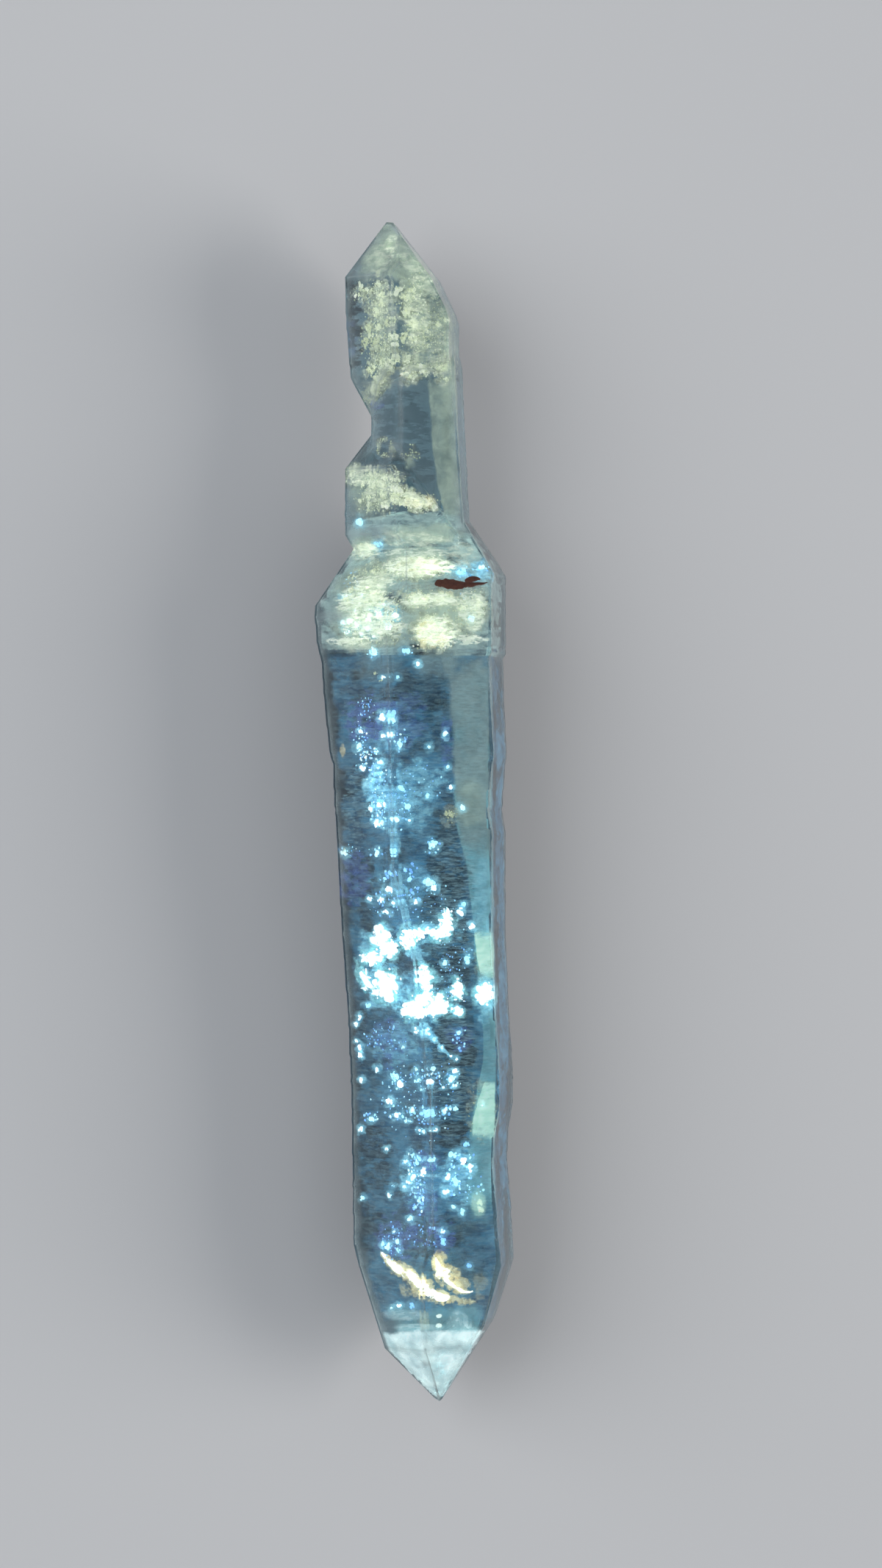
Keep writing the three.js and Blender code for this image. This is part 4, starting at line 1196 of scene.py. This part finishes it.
pocket_glow_halos = [
    veil(oval(a, b, w * 1.5 + 0.1, h * 1.5 + 0.1), 0.8 * tone, 0.36, (8, 8))
    for a, b, w, h, tone in BRIGHT_POCKETS
]
OUTFLOW = [(0.4, -7.4, 0.26), (0.75, -7.95, 0.18), (1.1, -8.35, 0.12), (1.45, -8.68, 0.05)]
soft_trails = [
    veil(trail([(-0.55, 0.6, 0.1), (-0.5, -0.4, 0.14), (-0.45, -1.5, 0.16)]), 0.6, 0.4, (8, 30)),
    veil(trail([(-0.4, -2.0, 0.08), (-0.3, -3.0, 0.12), (-0.15, -4.0, 0.14)]), 0.6, 0.4, (8, 30)),
    veil(trail([(0.2, -4.7, 0.12), (0.3, -5.1, 0.14), (0.45, -5.5, 0.2)]), 1.2, 0.36, (8, 20)),
    veil(trail(OUTFLOW), 1.3, 0.36, (8, 30)),
]
wide_veils = [veil(oval(*place), tone, depth) for *place, tone, depth in VEILS]
# Painted glow: blue to cyan light of their own
blue_cloud_glow = veil_material("blue_cloud_glow", (0.1, 0.33, 0.48), (0.45, 0.88, 1.0), 0.9, 0.7, 2000.0, 0.5, 1.6)
sheet_piece("blue_veil_glows", pocket_glow_halos + soft_trails + wide_veils, blue_cloud_glow)

DEEP_VEILS = [
    (-1.6, 3.4, 0.9, 1.1, 1.2, 0.6), (-2.15, 17.0, 0.3, 0.9, 0.45, 0.35),
    (-1.2, 14.6, 0.3, 0.25, 0.6, 0.3), (-0.2, 3.4, 1.0, 1.2, 0.6, 0.6), (1.3, 2.6, 0.3, 1.1, 0.7, 0.4),
    (-2.0, -2.3, 0.7, 1.2, 0.8, 0.5), (-0.8, -8.2, 0.8, 1.1, 0.8, 0.7), (1.7, -8.0, 0.6, 0.6, 0.6, 0.4),
    (0.6, -12.4, 0.6, 0.5, 0.9, 0.5), (0.3, -14.0, 0.6, 0.8, 0.7, 0.6),
    (-0.4, -15.1, 1.0, 1.0, 1.0, 0.5), (1.1, -15.1, 0.6, 0.8, 1.0, 0.5),
]
# Painted glow and painted shade: dim navy light of its own that also darkens the quartz behind it
deep_blue_glow_and_shade = veil_material("deep_blue_glow_and_shade", (0.04, 0.07, 0.26), (0.17, 0.27, 0.68), 0.55, 0.6, 2200.0, 0.7, 1.6)
deep_glow_and_shade_sheets = [veil(oval(*place), tone, depth) for *place, tone, depth in DEEP_VEILS]
sheet_piece("deep_blue_glow_and_shade_veils", deep_glow_and_shade_sheets, deep_blue_glow_and_shade)

# The gold fracture and the fine threads
# A crack near the lower point is lined with pale gold, brightest along its lower edge. Faint stains of
# the same gold lie below it, at the body's left edge, in the collar and in the stub. Thin threads of
# glowing oil hang by the white cores. The gold and the threads give off light of their own, a painted
# glow. The gold is sheets; the threads are flat, tapering bodies.
# Each station of a crack or a thread: across, along and half width
CRACK = [
    (-1.08, -15.62, 0.04), (-0.76, -15.98, 0.12), (-0.36, -16.33, 0.2), (0.04, -16.53, 0.2),
    (0.44, -16.9, 0.24), (0.78, -17.15, 0.2), (1.1, -17.28, 0.18), (1.42, -17.3, 0.1),
]
CRACK_BRANCH = [
    (0.85, -15.7, 0.1), (1.15, -16.5, 0.22), (1.5, -16.8, 0.18), (1.9, -17.08, 0.12),
    (2.3, -17.05, 0.05),
]
gold_glow_sheets = [
    veil(trail(CRACK, 1.9), 0.8, 0.42, (8, 40)),
    veil(trail(CRACK_BRANCH, 1.6), 0.8, 0.42, (8, 30)),
    veil(oval(1.05, -16.0, 0.32, 0.45), 0.8, 0.45),
    veil(oval(1.35, -16.4, 0.5, 0.45, -30), 0.9, 0.45),
    veil(oval(1.9, -16.8, 0.6, 0.25, -20), 0.7, 0.45),
    veil(oval(1.6, -17.4, 0.9, 0.22), 0.8, 0.42),
    veil(oval(0.52, -18.1, 0.1, 0.4), 0.3, 0.42),
    veil(oval(0.2, -17.1, 0.8, 0.35, -20), 0.4, 0.5),
    veil(oval(2.45, -16.9, 0.4, 0.6), 0.2, 0.42),
    veil(oval(-2.42, 2.2, 0.12, 0.35), 0.4, 0.2),
    veil(oval(0.75, 6.4, 0.7, 0.65), 0.45, 0.22),
    veil(oval(0.35, 8.85, 1.0, 0.35), 0.25, 0.22),
    veil(oval(0.35, 11.1, 0.7, 0.3), 0.3, 0.22),
]
# Painted glow: pale gold light of its own
gold_glow = veil_material("gold_lining_glow", (0.62, 0.5, 0.24), (1.0, 0.9, 0.55), 1.0, 0.95, 2400.0, 0.65)
sheet_piece("gold_glow_sheets", gold_glow_sheets, gold_glow)

# Painted glow: near-white gold light of its own along the crack's lower edge
white_gold_glow = veil_material("white_gold_glow", (1.0, 0.93, 0.66), (1.0, 1.0, 0.96), 1.5, 2.0, 3600.0, 0.7)
bright_sheets = [
    veil(trail(CRACK, 0.9), 0.9, 0.36, (8, 40)),
    veil(trail(CRACK_BRANCH, 0.55), 0.8, 0.36, (8, 30)),
    veil(oval(1.15, -16.38, 0.34, 0.32, -30), 0.9, 0.36),
    veil(oval(1.1, -17.27, 0.34, 0.14), 1.1, 0.34),
    veil(oval(1.02, -17.94, 0.12, 0.1), 0.9, 0.34),
    veil(oval(1.02, -18.28, 0.13, 0.1), 0.9, 0.34),
]
sheet_piece("bright_gold", bright_sheets, white_gold_glow)

THREAD_THICKNESS = 0.06
LEAST_WIDTH = 0.01
POINTED_FROM = 0.08


def threads_mesh(name, threads, ragged, sides=10):
    """Flat bodies along routes. A thread is its depth, its glow, and its stations: where it passes,
    across and along, and its half width there. Its edge wanders by the ragged share of that width."""
    made = bmesh.new()
    glow = made.verts.layers.float.new("glow")
    for depth, shine, stations in threads:
        count = 8 * (len(stations) - 1)
        route = [on_route(stations, step / count) for step in range(count + 1)]
        rings = []
        for number, (across, along, half) in enumerate(route):
            heading = heading_of(route[max(number - 1, 0)], route[min(number + 1, count)])
            ring = []
            for side in range(sides):
                angle = math.tau * side / sides
                wander = 1 + ragged * noise.noise(Vector((across * 7, along * 7, side * 0.9)))
                reach = max(half, LEAST_WIDTH) * math.cos(angle) * wander
                rise = THREAD_THICKNESS / 2 * math.sin(angle) * min(1, half / POINTED_FROM)
                place = seat(across - heading.y * reach, along + heading.x * reach, depth - rise)
                vert = made.verts.new(place)
                vert[glow] = shine * (0.8 + 0.5 * noise.noise(Vector((across * 11, along * 11, 3.0))))
                ring.append(vert)
            rings.append(ring)
        for ring, following in zip(rings, rings[1:]):
            for side in range(sides):
                turn = (side + 1) % sides
                made.faces.new((ring[side], ring[turn], following[turn], following[side]))
        made.faces.new(rings[0][::-1])
        made.faces.new(rings[-1])
    bmesh.ops.recalc_face_normals(made, faces=made.faces)
    return mesh_of(made, name)


THREADS = [
    (0.35, 1.1, [(-1.78, -5.65, 0.04), (-1.62, -5.92, 0.08), (-1.35, -6.25, 0.05)]),
    (0.3, 0.6, [(3.22, -5.9, 0.03), (3.26, -6.4, 0.06), (3.28, -6.95, 0.03)]),
]
sealed_piece("oil_threads", threads_mesh("oil_threads", THREADS, 0.8), blue_glow)

# The red-brown speck
# A flat sliver of solid bitumen in the collar, dull and red-brown, with a lobe on its upper side and a
# pointed end to the right.
SPECK_DEPTH = 0.09
SLIVER = [
    (0.88, 8.16, 0.04), (1.0, 8.22, 0.13), (1.3, 8.2, 0.17), (1.7, 8.16, 0.15), (2.05, 8.17, 0.1),
    (2.45, 8.2, 0.05), (2.75, 8.24, 0.015),
]
LOBE = [(1.95, 8.3, 0.04), (2.12, 8.36, 0.1), (2.35, 8.38, 0.08), (2.5, 8.36, 0.02)]


def bitumen_material():
    """Dull red-brown, darker in patches."""
    material, tree, output, place = new_material("bitumen")
    patchy = noise_at(tree, place, 7000.0, 5.0).outputs[0]
    bump = add(tree, "ShaderNodeBump", {"Strength": 0.6, "Distance": 0.02 * MM, "Height": patchy})
    colour = blend(tree, patchy, (0.2, 0.025, 0.012), (0.7, 0.17, 0.08))
    solid = add(
        tree, "ShaderNodeBsdfPrincipled", {"Base Color": colour, "Roughness": 0.55, "Normal": bump.outputs[0]}
    )
    tree.links.new(solid.outputs[0], output.inputs["Surface"])
    return material


speck = threads_mesh("red_brown_speck", [(SPECK_DEPTH, 0.5, SLIVER), (SPECK_DEPTH, 0.5, LOBE)], 0.35)
sealed_piece("red_brown_speck", speck, bitumen_material())

# The floor and the light
# A plain pale table, a large soft light low at each side, so that none of the faces on top mirrors
# one, and a faint even light from all round.
FLOOR_HALF = 0.6
FLOOR_HEIGHT = -0.02 * MM
floor_mesh = bpy.data.meshes.new("floor")
floor_corners = [
    (x * FLOOR_HALF, y * FLOOR_HALF, FLOOR_HEIGHT) for x, y in ((-1, -1), (1, -1), (1, 1), (-1, 1))
]
floor_mesh.from_pydata(floor_corners, [], [(0, 1, 2, 3)])
floor = in_scene("floor", floor_mesh)
table, table_tree, table_output, _ = new_material("pale_table")
table_finish = {"Base Color": (0.7, 0.7, 0.71, 1), "Roughness": 0.6}
table_shader = add(table_tree, "ShaderNodeBsdfPrincipled", table_finish)
table_tree.links.new(table_shader.outputs[0], table_output.inputs["Surface"])
floor_mesh.materials.append(table)


def softbox(name, turn, lift, distance, width, length, power, colour):
    """An area light that faces the crystal, by its turn from overhead towards +X and its lift along Y."""
    data = bpy.data.lights.new(name, "AREA")
    data.shape = "RECTANGLE"
    data.size = width
    data.size_y = length
    data.energy = power
    data.color = colour
    angle = math.radians(turn)
    place = Vector((math.sin(angle) * distance, lift, math.cos(angle) * distance))
    light = in_scene(name, data)
    light.matrix_world = Matrix.Translation(place) @ place.to_track_quat("Z", "Y").to_matrix().to_4x4()


softbox("left_light", -55, 0.1, 0.5, 0.4, 0.4, 1.5, (0.94, 0.97, 1.0))
softbox("right_light", 66, -0.05, 0.6, 0.35, 0.5, 2.2, (1.0, 0.98, 0.95))

world = bpy.data.worlds.new("studio")
world.use_nodes = True
even_light = world.node_tree.nodes["Background"]
even_light.inputs["Color"].default_value = (0.75, 0.8, 0.86, 1)
even_light.inputs["Strength"].default_value = 0.3
bpy.context.scene.world = world
bpy.context.scene.view_settings.view_transform = "Standard"
cycles = bpy.context.scene.cycles
cycles.max_bounces = 16
cycles.transmission_bounces = 12
cycles.transparent_max_bounces = 24
cycles.caustics_reflective = False
cycles.caustics_refractive = False
